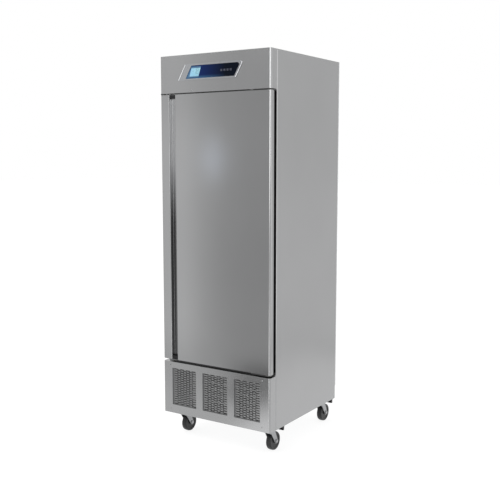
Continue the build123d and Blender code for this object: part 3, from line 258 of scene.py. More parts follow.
def plated(name, color, roughness, mottle=0.12):
    """Plated or ground metal with cloudy toning and fine scratches."""
    f = Finish(name, color, roughness, metallic=1.0)
    clouds = f.noise(38.0, 4.0, rough=0.6)
    scratches = f.noise(1.0, 2.0, f.scaled((900.0, 60.0, 400.0)), 0.7)
    f.set("Base Color", f.mix(clouds, shade(color, 1 - mottle), shade(color, 1 + mottle)))
    scuffed = f.spread(scratches, roughness - 0.04, roughness + 0.04)
    f.set("Roughness", f.sum(f.spread(clouds, -0.05, 0.05), scuffed))
    f.bump(scratches, 0.008 * MM)
    return f.material


def moulded(name, color, roughness, texture=0.03 * MM, coat=0.0, gloss=0.5):
    """Moulded plastic: spark-eroded grain and slight uneven gloss."""
    f = Finish(
        name, color, roughness, Coat_Weight=coat, Coat_Roughness=0.12, Specular_IOR_Level=gloss)
    grain = f.noise(900.0, 3.0, rough=0.6)
    patches = f.noise(20.0, 3.0)
    f.set("Base Color", f.mix(patches, shade(color, 0.86), shade(color, 1.16)))
    uneven = f.spread(patches, roughness - 0.03, roughness + 0.03)
    f.set("Roughness", f.sum(f.spread(grain, -0.06, 0.06), uneven))
    f.bump(grain, texture)
    return f.material


def rubber(name, color, roughness, dust, gloss=0.5):
    """Rubber with a bloom of pale dust in its flats."""
    f = Finish(
        name, color, roughness, Sheen_Weight=0.04, Sheen_Roughness=0.5, Specular_IOR_Level=gloss)
    grain = f.noise(700.0, 3.0)
    film = f.noise(30.0, 5.0, rough=0.65)
    f.set("Base Color", f.mix(f.spread(film, 0.0, dust, 0.35, 0.8), color, (0.3, 0.3, 0.29)))
    f.set("Roughness", f.spread(film, roughness - 0.08, roughness + 0.12))
    f.bump(grain, 0.03 * MM)
    return f.material


def display_panel_finish():
    """Glossy panel, navy fading to black towards the right, with a painted steel-blue glow at the left and
    along the foot.
    """
    low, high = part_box("display_panel")
    f = Finish(
        "display_dark", (0.004, 0.008, 0.04), 0.16,
        Coat_Weight=0.04, Coat_Roughness=0.04, Specular_IOR_Level=0.05)
    axes = f.axes()
    along = f.spread(axes["X"], 0.0, 1.0, low.x, high.x)
    rise = f.spread(axes["Z"], 0.0, 1.0, low.z, high.z)
    navy, black, steel_blue = (0.006, 0.017, 0.080), (0.002, 0.004, 0.009), (0.040, 0.110, 0.200)
    body = f.mix(f.spread(along, 0.0, 1.0, 0.28, 0.74), navy, black)
    # Painted glow: steel blue laid into the base colour at the left and along the foot, where the panel
    # itself gives no light.
    left_painted_glow = f.spread(along, 1.0, 0.0, 0.0, 0.20)
    foot_painted_glow = f.times(f.spread(rise, 0.9, 0.0, 0.02, 0.24), f.spread(along, 1.0, 0.0, 0.25, 0.75))
    glow = math_node(f.tree, "MAXIMUM", left_painted_glow, foot_painted_glow)
    speckle = f.noise(1400.0, 2.0)
    painted_glow_share = f.times(glow, f.spread(speckle, 0.85, 1.0))
    f.set("Base Color", f.mix(painted_glow_share, body, steel_blue))
    f.set("Roughness", f.spread(f.noise(60.0, 3.0), 0.12, 0.2))
    f.bump(speckle, 0.004 * MM)
    return f.material


LCD_BORDER = 15.0 * MM
LCD_LEAN = 0.33


def lcd_finish():
    """Backlit glass with a blue printed border at its left, head and foot, and its pixel mesh."""
    low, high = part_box("display_window")
    f = Finish("display_glass", (0.30, 0.52, 0.60), 0.2, Coat_Weight=0.2, Coat_Roughness=0.05)
    axes = f.axes()
    along = f.spread(axes["X"], 0.0, 1.0, low.x, high.x)
    rise = f.spread(axes["Z"], 0.0, 1.0, low.z, high.z)
    uneven = f.sum(f.spread(along, 0.0, 0.8), f.spread(f.noise(35.0, 2.0), -0.1, 0.3))
    glow = f.mix(uneven, (0.20, 0.40, 0.60), (0.29, 0.52, 0.55))
    glow = f.mix(f.times(f.spread(rise, 0.7, 0.0, 0.1, 0.6), along), glow, (0.12, 0.30, 0.44))
    pixel = f.cells(1.0, f.scaled((1500.0, 1.0, 1500.0)), feature="DISTANCE_TO_EDGE")
    lit = f.mix(f.spread(pixel, 0.0, 1.0, 0.02, 0.12), (0.15, 0.33, 0.42), glow)
    lean = f.spread(axes["Z"], 0.0, LCD_LEAN * (low.z - high.z), low.z, high.z)
    sheared = f.sum(axes["X"], lean)
    edge = low.x + LCD_BORDER
    inside = f.spread(sheared, 0.0, 1.0, edge - 2.0 * MM, edge)
    inside = f.times(inside, f.spread(rise, 1.0, 0.0, 0.83, 0.88))
    inside = f.times(inside, f.spread(rise, 0.0, 1.0, 0.07, 0.11))
    shown = f.mix(inside, (0.036, 0.100, 0.190), lit)
    f.set("Base Color", shown)
    f.set("Emission Color", shown)
    f.shader.inputs["Emission Strength"].default_value = 0.2
    f.set("Roughness", f.spread(pixel, 0.3, 0.16, 0.0, 0.1))
    return f.material


def foam_finish():
    f = Finish("foam", (0.78, 0.68, 0.42), 0.9)
    cell = f.cells(420.0)
    stain = f.noise(9.0, 4.0)
    f.set("Base Color", f.mix(stain, (0.70, 0.58, 0.32), (0.84, 0.76, 0.52)))
    f.set("Roughness", f.spread(cell, 0.8, 1.0))
    f.bump(cell, 0.4 * MM)
    return f.material


def copper_finish():
    f = Finish("copper_tube", (0.70, 0.31, 0.17), 0.3, metallic=1.0)
    tarnish = f.noise(55.0, 5.0, rough=0.65)
    dulled = f.spread(tarnish, 0.0, 1.0, 0.4, 0.75)
    f.set("Base Color", f.mix(dulled, (0.74, 0.34, 0.19), (0.33, 0.14, 0.08)))
    f.set("Roughness", f.spread(tarnish, 0.22, 0.5))
    f.bump(tarnish, 0.04 * MM)
    return f.material


def fin_finish():
    """Aluminium fins with pressed ripples across their depth."""
    f = Finish("fin_aluminium", (0.62, 0.63, 0.64), 0.4, metallic=1.0)
    ripple = f.noise(1.0, 1.0, f.scaled((4.0, 500.0, 4.0)))
    dust = f.noise(45.0, 4.0)
    f.set("Base Color", f.mix(dust, (0.44, 0.44, 0.43), (0.70, 0.71, 0.72)))
    f.set("Roughness", f.spread(dust, 0.52, 0.34))
    f.bump(ripple, 0.2 * MM)
    return f.material


def painted(name, color, roughness):
    """Black enamel with orange peel."""
    f = Finish(name, color, roughness, Coat_Weight=0.6, Coat_Roughness=0.15)
    peel = f.noise(260.0, 2.0)
    dust = f.noise(24.0, 5.0, rough=0.6)
    f.set("Base Color", f.mix(f.spread(dust, 0.0, 0.5, 0.45, 0.85), color, (0.12, 0.115, 0.105)))
    f.set("Roughness", f.spread(dust, roughness - 0.05, roughness + 0.15))
    f.bump(peel, 0.06 * MM)
    return f.material


VERTICAL_GRAIN = (1100.0, 1100.0, 8.0)
ACROSS_GRAIN = (8.0, 1100.0, 1100.0)


def make_finishes():
    return {
        "stainless": brushed_steel("stainless", STEEL, 0.24, VERTICAL_GRAIN),
        # The door's steel, with shade painted into its grip.
        "stainless_door": brushed_steel("stainless_door", STEEL, 0.18, VERTICAL_GRAIN, painted_shade_mask=groove_painted_shade_mask),
        "stainless_inner": brushed_steel("stainless_inner", (0.46, 0.465, 0.47), 0.33, ACROSS_GRAIN),
        "stainless_screen": brushed_steel("stainless_screen", (0.235, 0.236, 0.238), 0.36, ACROSS_GRAIN),
        "galvanised": spangled_zinc("galvanised", (0.50, 0.51, 0.52), 0.42),
        "screw_steel": plated("screw_steel", (0.30, 0.30, 0.305), 0.36),
        "hinge_steel": painted("hinge_steel", (0.018, 0.018, 0.019), 0.38),
        "bright_trim": plated("bright_trim", (0.335, 0.343, 0.355), 0.24, 0.03),
        "bright_rim": plated("bright_rim", (0.66, 0.67, 0.69), 0.16, 0.03),
        "lcd_ink": moulded("lcd_ink", (0.09, 0.19, 0.25), 0.35, 0.01 * MM),
        "key_ink": moulded("key_ink", (0.04, 0.043, 0.046), 0.4, 0.01 * MM),
        "display_dark": display_panel_finish(),
        "display_glass": lcd_finish(),
        "key_blue": moulded("key_blue", (0.006, 0.010, 0.030), 0.3, 0.01 * MM, coat=0.5),
        "black_plastic": moulded("black_plastic", (0.008, 0.008, 0.009), 0.42, gloss=0.2),
        "grey_plastic": moulded("grey_plastic", (0.33, 0.335, 0.34), 0.45),
        "gasket_rubber": rubber("gasket_rubber", (0.010, 0.010, 0.011), 0.55, 0.12),
        "foam": foam_finish(),
        "shelf_wire": plated("shelf_wire", (0.66, 0.67, 0.68), 0.24, 0.06),
        "fin_aluminium": fin_finish(),
        "fan_plastic": moulded("fan_plastic", (0.014, 0.014, 0.015), 0.42, gloss=0.3),
        "motor_steel": plated("motor_steel", (0.36, 0.365, 0.37), 0.42),
        "compressor_paint": painted("compressor_paint", (0.012, 0.012, 0.013), 0.3),
        "copper_tube": copper_finish(),
        "caster_zinc": plated("caster_zinc", (0.30, 0.305, 0.31), 0.42, 0.12),
        "wheel_rubber": rubber("wheel_rubber", (0.007, 0.007, 0.008), 0.40, 0.03, 0.3),
        "pedal_black": moulded("pedal_black", (0.010, 0.010, 0.011), 0.36, gloss=0.3),
    }


FINISHES = make_finishes()


def dress_cad_nodes():
    """Gives each carried-over node its finish, by the slot its mesh came with."""
    for node in NODES.values():
        for place in node.material_slots:
            place.material = FINISHES[place.material.name.split(".")[0]]


# Mesh building

def piece(name, bm, body, slot, smooth_deg=34.0, finish=None):
    """Turns a bmesh into a piece that rides on a body, with its slot's finish or the one named."""
    mesh = bpy.data.meshes.new(name)
    bmesh.ops.recalc_face_normals(bm, faces=bm.faces)
    bm.to_mesh(mesh)
    bm.free()
    mesh.shade_smooth()
    mesh.set_sharp_from_angle(angle=math.radians(smooth_deg))
    made = add_object(name, mesh)
    made.data.materials.append(FINISHES[finish or slot])
    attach(made, body)
    return made


def skin_loops(bm, loops, closed=False):
    """Joins rings of vertices that have equal counts into one surface, capped unless it closes."""
    rings = [[bm.verts.new(p) for p in loop] for loop in loops]
    pairs = list(zip(rings, rings[1:]))
    if closed:
        pairs.append((rings[-1], rings[0]))
    count = len(rings[0])
    for low, high in pairs:
        for i in range(count):
            j = (i + 1) % count
            bm.faces.new((low[i], low[j], high[j], high[i]))
    if not closed:
        bm.faces.new(list(reversed(rings[0])))
        bm.faces.new(rings[-1])


AXIS_TURNS = {"X": Matrix.Rotation(math.pi / 2, 3, "Y"), "Z": Matrix.Identity(3)}


def lathe(bm, profile, centre, axis, steps):
    """Turns (radius, along) points about an axis through centre."""
    loops = []
    for radius, along in profile:
        ring = [Vector((radius * math.cos(a), radius * math.sin(a), along)) for a in round_turn(steps)]
        loops.append([AXIS_TURNS[axis] @ p + Vector(centre) for p in ring])
    skin_loops(bm, loops)


def rounded(points, radius, steps=4):
    """A closed outline with each corner replaced by an arc."""
    out = []
    count = len(points)
    for i, corner in enumerate(points):
        corner = Vector(corner)
        before = (Vector(points[i - 1]) - corner).normalized()
        after = (Vector(points[(i + 1) % count]) - corner).normalized()
        half = before.angle(after) / 2
        reach = min(
            radius / math.tan(half),
            0.45 * (Vector(points[i - 1]) - corner).length,
            0.45 * (Vector(points[(i + 1) % count]) - corner).length,
        )
        start, end = corner + before * reach, corner + after * reach
        for k in range(steps + 1):
            t = k / steps
            out.append(((1 - t) ** 2) * start + 2 * t * (1 - t) * corner + t * t * end)
    return out


def grow(points, amount):
    """Moves each point of a closed outline outward along its corner's bisector."""
    if not amount:
        return points
    count = len(points)
    area = sum(points[i - 1].x * p.y - p.x * points[i - 1].y for i, p in enumerate(points))
    turn = 1.0 if area > 0 else -1.0
    longest = 1.6 * abs(amount)
    out = []
    for i, p in enumerate(points):
        a = (p - points[i - 1]).normalized()
        b = (points[(i + 1) % count] - p).normalized()
        normal = Vector((a.y + b.y, -a.x - b.x)) * turn
        step = amount / max(0.3, normal.length / 2) if normal.length else 0.0
        out.append(p + normal.normalized() * max(-longest, min(longest, step)))
    return out


def raised_shape(bm, outline, y_back, y_front, edge):
    """A plate in the XZ plane with its front edge, the lower in Y, rounded over."""
    steps = 4
    loops = [[(p.x, y_back, p.y) for p in outline]]
    for k in range(steps + 1):
        a = math.pi / 2 * k / steps
        y = y_front + edge * (1 - math.sin(a))
        loops.append([(p.x, y, p.y) for p in grow(outline, -edge * (1 - math.cos(a)))])
    skin_loops(bm, loops)


def wire(bm, points, radius, sides=10, closed=False):
    """A round rod along points, with mitred turns; radius may be a list, one for each point."""
    points = [Vector(p) for p in points]
    count = len(points)
    radii = radius if isinstance(radius, list) else [radius] * count
    up = Vector((0.0, 0.0, 1.0))
    last = None
    loops = []
    for i, p in enumerate(points):
        before = points[i - 1] if (i or closed) else p
        after = points[(i + 1) % count] if (i < count - 1 or closed) else p
        along = (after - before).normalized()
        side = along.cross(up)
        if side.length < 1e-3:
            side = along.cross(Vector((0.0, 1.0, 0.0)))
        side.normalize()
        if last is not None and side.dot(last) < 0.0:
            side.negate()
        last = side
        other = side.cross(along).normalized()
        spokes = [side * math.cos(a) + other * math.sin(a) for a in round_turn(sides)]
        loops.append([p + spoke * radii[i] for spoke in spokes])
    skin_loops(bm, loops, closed=closed)


def soften(name, width, segments=2):
    """Rounds the sharp edges of a carried-over node without touching its mesh."""
    node = NODES[name]
    weld = node.modifiers.new("weld", "WELD")
    weld.merge_threshold = 1e-5
    bevel = node.modifiers.new("soft_edges", "BEVEL")
    bevel.width = width
    bevel.segments = segments
    bevel.limit_method = "ANGLE"
    bevel.angle_limit = math.radians(40.0)
    bevel.use_clamp_overlap = True
    normals = node.modifiers.new("face_normals", "WEIGHTED_NORMAL")
    normals.keep_sharp = False


def soften_nodes():
    soften("display_bezel", 1.1 * MM, 3)
    soften("hinge_top", 0.7 * MM)
    soften("hinge_bottom", 0.7 * MM)
    soften("door_frame", 1.0 * MM)
    soften("controller_box", 0.8 * MM)
    soften("caster_plates", 0.6 * MM)
    for i in range(1, 5):
        soften(f"key_{i}", 0.5 * MM)
    for corner in CORNERS:
        soften(f"caster_fork_{corner}", 0.5 * MM)
        soften(f"brake_pedal_{corner}", 1.0 * MM, 3)


# Door gasket

def door_gasket():
    """Bellows gasket: a push-in base, two folds and the magnet strip's pocket."""
    low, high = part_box("door_gasket")
    depth = high.y - low.y
    half = 11.0 * MM
    neck = 5.0 * MM
    fold = 8.6 * MM
    side = [
        (half, 0.0), (half, 0.16), (neck, 0.26), (fold, 0.40), (neck, 0.54),
        (fold + 1.2 * MM, 0.66), (half, 0.72), (half, 0.94), (half - 1.0 * MM, 1.0),
    ]
    outline = [(u, t * depth) for u, t in side] + [(-u, t * depth) for u, t in reversed(side)]
    outline = rounded(outline, 0.7 * MM, 2)
    x = high.x - half
    z0, z1 = low.z + half, high.z - half
    bm = bmesh.new()
    loops = []
    for sx, sz in ((-1, -1), (1, -1), (1, 1), (-1, 1)):
        zc = z0 if sz < 0 else z1
        loops.append([(sx * (x + p.x), low.y + p.y, zc + sz * p.x) for p in outline])
    skin_loops(bm, loops, closed=True)
    made = piece("gasket_bellows", bm, "door", "gasket_rubber")
    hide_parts("door_gasket")


# Casing

HEM_WIDTH = 6.8 * MM
HEM_PROUD = 1.4 * MM
HEM_ROUND = 0.6 * MM
HEM_SUNK = 0.6 * MM
GAP_ABOVE_DOOR = 7.0 * MM
LIP_SHEET = 1.2 * MM


def casing_edges():
    """Folded hems on the front edges of the side panels, full height, thickest at their rear edge."""
    low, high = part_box("side_panel_right")
    steps = 6
    front = low.y + HEM_SUNK
    rear = front + HEM_WIDTH
    hem = [(high.x - HEM_SUNK, front), (high.x + 0.05 * MM, front), (high.x + 0.3 * MM, front + 0.3 * MM)]
    for k in range(steps + 1):
        a = math.pi / 2 * k / steps
        x = high.x + HEM_PROUD - HEM_ROUND * (1 - math.cos(a))
        hem.append((x, rear - HEM_ROUND * (1 - math.sin(a))))
    hem.append((high.x - HEM_SUNK, rear))
    heights = (CAD_BASE + 1.0 * MM, CAD_HIGH.z - 1.5 * MM)
    for side, name in ((-1, "left"), (1, "right")):
        bm = bmesh.new()
        skin_loops(bm, [[(side * x, y, z) for x, y in hem] for z in heights])
        piece(f"casing_edge_{name}", bm, "cabinet", "stainless", 50.0)


def fascia_lip():
    """The fascia's left side turned down over the end of the gap above the door."""
    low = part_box("fascia")[0]
    door_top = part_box("door_skin")[1].z
    foot, top = door_top + 1.0 * MM, door_top + GAP_ABOVE_DOOR + 0.3 * MM
    front, rear = low.y + 2.5 * MM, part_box("side_panel_left")[0].y - 1.0 * MM
    corners = [(front, foot + 2.0 * MM), (front + 3.0 * MM, foot), (rear, foot), (rear, top), (front, top)]
    outline = rounded(corners, 0.8 * MM, 3)
    outside = low.x + 0.2 * MM
    bm = bmesh.new()
    skin_loops(bm, [[(x, p.x, p.y) for p in outline] for x in (outside, outside + LIP_SHEET)])
    piece("fascia_lip", bm, "cabinet", "stainless")


# Display

SEGMENTS = {
    "top": ((0, 2), (1, 2)), "middle": ((0, 1), (1, 1)), "foot": ((0, 0), (1, 0)),
    "upper_left": ((0, 1), (0, 2)), "upper_right": ((1, 1), (1, 2)),
    "lower_left": ((0, 0), (0, 1)), "lower_right": ((1, 0), (1, 1)),
}
DIGITS = {
    "-": ["middle"],
    "1": ["upper_right", "lower_right"],
    "8": list(SEGMENTS),
}


def bar(a, b, width):
    """A segment with pointed ends, between two points in a plane."""
    a, b = Vector(a), Vector(b)
    along = (b - a).normalized()
    side = Vector((-along.y, along.x)) * width / 2
    gap = 0.6 * width
    a, b = a + along * gap * 0.5, b - along * gap * 0.5
    inner = along * width / 2
    return [a, a + inner + side, b - inner + side, b, b - inner - side, a + inner - side]


DISPLAY_CENTRE_X = -22.0 * MM
DISPLAY_WIDTH = 408.0 * MM
DISPLAY_LEAN = 48.0 / 83.0
DISPLAY_NOSE = 10.0 * MM
RIM_THIN = 0.4 * MM
RIM_FULL = 2.1 * MM
RIM_STEEP = 0.8


def display_rim():
    """A polished bead along the bezel's edge, fuller on its slanted ends."""
    low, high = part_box("display_bezel")
    left, right = DISPLAY_CENTRE_X - DISPLAY_WIDTH / 2, DISPLAY_CENTRE_X + DISPLAY_WIDTH / 2
    nose = high.z - DISPLAY_NOSE
    corners = [
        (left, low.z), (right - DISPLAY_LEAN * (nose - low.z), low.z), (right, nose),
        (right - DISPLAY_NOSE, high.z), (left + DISPLAY_LEAN * (high.z - low.z), high.z),
    ]
    outline = grow(rounded(corners, 6.0 * MM, 6), -RIM_FULL)
    points, radii = [], []
    for i, p in enumerate(outline):
        along = (outline[(i + 1) % len(outline)] - outline[i - 1]).normalized()
        share = min(1.0, abs(along.y) / RIM_STEEP)
        points.append((p.x, low.y + 0.4 * MM, p.y))
        radii.append(RIM_THIN + (RIM_FULL - RIM_THIN) * share * share)
    bm = bmesh.new()
    wire(bm, points, radii, 12, closed=True)
    piece("display_rim", bm, "cabinet", "bright_trim", 60.0, finish="bright_rim")


FIGURE_WIDTH = 10.0 * MM
FIGURE_HEIGHT = 14.0 * MM
FIGURE_PITCH = 15.0 * MM
FIGURE_STROKE = 2.0 * MM
FIGURE_LEAN = 0.22


def display_digits():
    """Faint seven-segment figures on the glass, leaning with the display's ends."""
    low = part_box("display_window")[0]
    foot = low.z + 17.0 * MM
    start = low.x + 30.0 * MM
    bm = bmesh.new()
    for place, figure in enumerate("-18"):
        left = start + place * FIGURE_PITCH
        for segment in DIGITS[figure]:
            a, b = [(left + x * FIGURE_WIDTH, z * FIGURE_HEIGHT) for x, z in SEGMENTS[segment]]
            shape = bar(a, b, FIGURE_STROKE)
            outline = [Vector((p.x + FIGURE_LEAN * p.y, foot + p.y)) for p in shape]
            raised_shape(bm, outline, low.y + 0.3 * MM, low.y - 0.12 * MM, 0.1 * MM)
    piece("display_figures", bm, "cabinet", "display_dark", finish="lcd_ink")


KEY_MARK_REACH = 3.0 * MM


def key_mark_outline(mark, x, z):
    """An arrow up or down, or a bar, about the key's middle."""
    r = KEY_MARK_REACH
    if mark == "bar":
        corners = [(x - r, z - r / 4), (x + r, z - r / 4), (x + r, z + r / 4), (x - r, z + r / 4)]
        return rounded(corners, 0.5 * MM, 3)
    up = r if mark == "up" else -r
    return rounded([(x - r, z - 0.7 * up), (x + r, z - 0.7 * up), (x, z + up)], 0.4 * MM, 2)


def key_marks():
    """A raised mark on each key."""
    for i, mark in enumerate(("up", "down", "ring", "bar"), 1):
        low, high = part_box(f"key_{i}")
        x, z = (low.x + high.x) / 2, (low.z + high.z) / 2
        bm = bmesh.new()
        if mark == "ring":
            r = KEY_MARK_REACH
            ring = [(x + r * math.cos(a), low.y, z + r * math.sin(a)) for a in round_turn(24)]
            wire(bm, ring, 0.45 * MM, 8, closed=True)
        else:
            outline = key_mark_outline(mark, x, z)
            raised_shape(bm, outline, low.y + 0.2 * MM, low.y - 0.25 * MM, 0.12 * MM)
        piece(f"key_mark_{i}", bm, f"key_{i}", "grey_plastic", finish="key_ink")


# Screws

# Shares of a screw head's radius, and of its height.
CROSS_ARM = 0.17
CROSS_REACH = 0.55
CROSS_DEPTH = 0.75
DOME_SHARE = 0.92


def cross_head(bm, centre, radius, height):
    """A domed head facing -Y with a cross recess."""
    rings = 7
    loops = []
    for k in range(rings + 1):
        share = 1 - k / rings
        r = radius * max(share, 0.02)
        rise = height * math.sqrt(1 - (DOME_SHARE * share) ** 2)
        loop = []
        for a in round_turn(40):
            x, z = r * math.cos(a), r * math.sin(a)
            near, far = sorted((abs(x) / radius, abs(z) / radius))
            depth = CROSS_DEPTH * height if near < CROSS_ARM and far < CROSS_REACH else 0.0
            loop.append((centre[0] + x, centre[1] - rise + depth, centre[2] + z))
        loops.append(loop)
    skirt = [(p[0], centre[1] + 0.3 * MM, p[2]) for p in loops[0]]
    skin_loops(bm, [skirt] + loops)


def islands(node):
    """The boxes of a node's separate solids, as (low, high) pairs."""
    bm = bmesh.new()
    bm.from_mesh(NODES[node].data)
    bmesh.ops.remove_doubles(bm, verts=bm.verts, dist=1e-6)
    left = set(bm.verts)
    boxes = []
    while left:
        stack = [left.pop()]
        low, high = stack[0].co.copy(), stack[0].co.copy()
        while stack:
            v = stack.pop()
            low = Vector(map(min, low, v.co))
            high = Vector(map(max, high, v.co))
            for e in v.link_edges:
                other = e.other_vert(v)
                if other in left:
                    left.remove(other)
                    stack.append(other)
        boxes.append((low, high))
    bm.free()
    return sorted(boxes, key=lambda b: tuple(b[0]))


def cover_screws():
    height = 1.6 * MM
    bm = bmesh.new()
    for low, high in islands("cover_screws"):
        centre = ((low.x + high.x) / 2, low.y + height, (low.z + high.z) / 2)
        cross_head(bm, centre, (high.x - low.x) / 2, height)
    made = piece("cover_screw_heads", bm, "cabinet", "screw_steel")
    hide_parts("cover_screws")


# Casters
# Each caster's pieces are built about its kingpin at the origin, with the trail along +Y.

WHEEL_HALF = 15.0 * MM
TYRE_CROWN = 4.6 * MM
TYRE_INNER_R = 35.5 * MM
LEG_OUTSIDE = 21.0 * MM
CROWN_R = 29.0 * MM
PEDAL_REACH = 125.0 * MM
PEDAL_TIP_DROP = 12.0 * MM
PEDAL_THICK = 9.0 * MM
PEDAL_WIDTH = 44.0 * MM


def joint_named(name):
    return next(j for j in frame["joints"] if j["name"] == name)


def caster_place(corner):
    """The move from a caster's own axes to its place and rest turn, with its trail and axle height."""
    kingpin = Vector(joint_named(f"caster_swivel_{corner}")["pos_m"])
    spin = joint_named(f"wheel_spin_{corner}")
    axle = Vector(spin["pos_m"])
    turn = math.atan2(spin["axis"][1], spin["axis"][0])
    move = Matrix.Translation((kingpin.x, kingpin.y, 0.0)) @ Matrix.Rotation(turn, 4, "Z")
    return move, (axle - kingpin).xy.length, axle.z


def caster_tyre(corner):
    """A crowned tyre in place of the plain wheel."""
    move, trail, r = caster_place(corner)
    tread = []
    for k in range(13):
        a = math.pi * k / 12
        tread.append((r - TYRE_CROWN + TYRE_CROWN * math.sin(a) ** 0.55, -WHEEL_HALF * math.cos(a)))
    wall = [
        (TYRE_INNER_R, WHEEL_HALF - 2.2 * MM), (TYRE_INNER_R + 1.0 * MM, WHEEL_HALF - 0.5 * MM),
        (r - 7.0 * MM, WHEEL_HALF),
    ]
    profile = [(x, -y) for x, y in wall] + tread + wall[::-1]
    bm = bmesh.new()
    lathe(bm, profile, (0.0, trail, r), "X", 96)
    bm.transform(move)
    tyre = piece(f"tyre_{corner}", bm, f"wheel_{corner}", "wheel_rubber", 40.0)
    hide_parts(f"caster_wheel_{corner}")


# The hub's half section as (radius, across), its rib's outline as (across, radius),
# and the rib's steps outward as (depth, shrink). Millimetres, but for the shrink.
HUB_PROFILE = (
    (6.2, 17.6), (10.4, 17.6), (11.0, 17.0), (11.4, 12.0), (13.5, 9.6), (16.0, 6.0),
    (29.0, 4.5), (32.0, 9.0), (33.0, 12.6), (35.2, 13.0), (35.9, 12.0),
)
HUB_RIB = ((-1.4, 12.0), (1.4, 12.0), (1.1, 33.0), (-1.1, 33.0))
HUB_RIB_STEPS = ((3.0, 1.0), (9.6, 0.9), (10.2, 0.6))


def wheel_hub(corner):
    """A hub with six ribs on each side and its bearing boss."""
    move, trail, height = caster_place(corner)
    centre = Vector((0.0, trail, height))
    outer = [(r * MM, y * MM) for r, y in HUB_PROFILE]
    bm = bmesh.new()
    lathe(bm, [(r, -y) for r, y in outer] + outer[::-1], centre, "X", 72)
    for a in round_turn(6):
        turn = Matrix.Rotation(a, 3, "X")
        for side in (-1, 1):
            loops = []
            for depth, shrink in HUB_RIB_STEPS:
                rib = [Vector((side * depth, y * shrink, z)) * MM for y, z in HUB_RIB]
                loops.append([turn @ p + centre for p in rib])
            skin_loops(bm, loops)
    bm.transform(move)
    piece(f"wheel_hub_{corner}", bm, f"wheel_{corner}", "fan_plastic", 35.0)


def hexagon(bm, centre, axis, across, height, washer):
    """A nut or bolt head with chamfered corners, on a washer."""
    corner_r = across / math.sqrt(3)
    loops = []
    for rise, scale in ((0.0, 0.99), (0.06, 1.0), (0.82, 1.0), (1.0, 0.9)):
        ring = []
        for a in round_turn(24):
            wedge = (a + math.pi / 6) % (math.pi / 3) - math.pi / 6
            r = corner_r * math.cos(math.pi / 6) / math.cos(wedge)
            if scale < 1.0:
                r = min(r, corner_r * scale)
            point = Vector((r * math.cos(a), r * math.sin(a), rise * height))
            ring.append(AXIS_TURNS[axis] @ point + Vector(centre))
        loops.append(ring)
    skin_loops(bm, loops)
    thick = math.copysign(0.9 * MM, height)
    profile = [(washer, 0.0), (washer, thick * 0.7), (washer - 0.4 * MM, thick)]
    lathe(bm, profile, centre, axis, 32)


# The ball race's section about the crown's outer edge, as (radius past the crown, height), in millimetres.
RACE_OUTER = ((0.3, -5.6), (1.6, -4.6), (1.9, -2.4), (1.0, -0.6))


def caster_fastenings(corner):
    """Axle nut, bolt head and ball-race ring on a fork."""
    move, trail, height = caster_place(corner)
    body = f"fork_{corner}"
    crown_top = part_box(f"caster_fork_{corner}")[1].z
    bm = bmesh.new()
    for side in (-1, 1):
        place = (side * LEG_OUTSIDE, trail, height)
        hexagon(bm, place, "X", 17.0 * MM, side * 5.5 * MM, 10.5 * MM)
    bm.transform(move)
    piece(f"axle_nuts_{corner}", bm, body, "screw_steel", 25.0)
    inner_r = 20.0 * MM
    profile = [(inner_r, -3.0 * MM)]
    profile += [(CROWN_R + r * MM, z * MM) for r, z in RACE_OUTER]
    profile += [(CROWN_R - 1.5 * MM, 0.0), (inner_r, -0.4 * MM)]
    bm = bmesh.new()
    lathe_ring(bm, profile, crown_top + 0.15 * MM, 64)
    bm.transform(move)
    piece(f"ball_race_{corner}", bm, body, "caster_zinc", 40.0)


LIP_CENTRE = Vector((-17.5, -9.0)) * MM
LIP_RADIUS = 9.0 * MM
LIP_TURN = math.radians(213.5)
LIP_FALL = 19.0 * MM
LIP_THICK = 2.4 * MM


def fork_lip(corner):
    """The crown's front, rolled over and down between the legs to an arch above the tyre."""
    move = caster_place(corner)[0]
    crown_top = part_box(f"caster_fork_{corner}")[1].z
    arc = [math.pi / 2 + (LIP_TURN - math.pi / 2) * k / 9 for k in range(10)]
    down = Vector((-math.sin(LIP_TURN), math.cos(LIP_TURN)))
    loops = []
    for k in range(17):
        x = LEG_OUTSIDE * (k / 8 - 1.0)
        share = (x / LEG_OUTSIDE) ** 2
        fall = LIP_FALL * (0.22 + 0.78 * share)
        back = 4.5 * MM * share * share
        edges = []
        for radius in (LIP_RADIUS, LIP_RADIUS - LIP_THICK):
            edge = [LIP_CENTRE + radius * Vector((math.cos(a), math.sin(a))) for a in arc]
            edge += [edge[-1] + down * fall * part for part in (0.34, 0.67, 1.0)]
            edges.append(edge)
        section = edges[0] + edges[1][::-1]
        loops.append([(x, p.x + back, crown_top + p.y + 0.1 * MM) for p in section])
    bm = bmesh.new()
    skin_loops(bm, loops)
    bm.transform(move)
    piece(f"fork_lip_{corner}", bm, f"fork_{corner}", "caster_zinc", 50.0)


def lathe_ring(bm, profile, lift, steps):
    """Turns a closed (radius, height) outline about the Z axis into a ring, raised by lift."""
    loops = []
    for a in round_turn(steps):
        loops.append([(r * math.cos(a), r * math.sin(a), lift + z) for r, z in profile])
    skin_loops(bm, loops, closed=True)


def plate_bolts():
    """Bolts through the caster plates into the base frame, seen from below."""
    margin = 8.0 * MM
    height = 4.0 * MM
    bm = bmesh.new()
    for low, high in islands("caster_plates"):
        middle = (low + high) / 2
        reach = (high - low) / 2
        for sx in (-1, 1):
            for sy in (-1, 1):
                x = middle.x + sx * (reach.x - margin)
                y = middle.y + sy * (reach.y - margin)
                hexagon(bm, (x, y, high.z - height), "Z", 10.0 * MM, -height, 7.0 * MM)
    piece("caster_plate_bolts", bm, "cabinet", "screw_steel", 25.0)


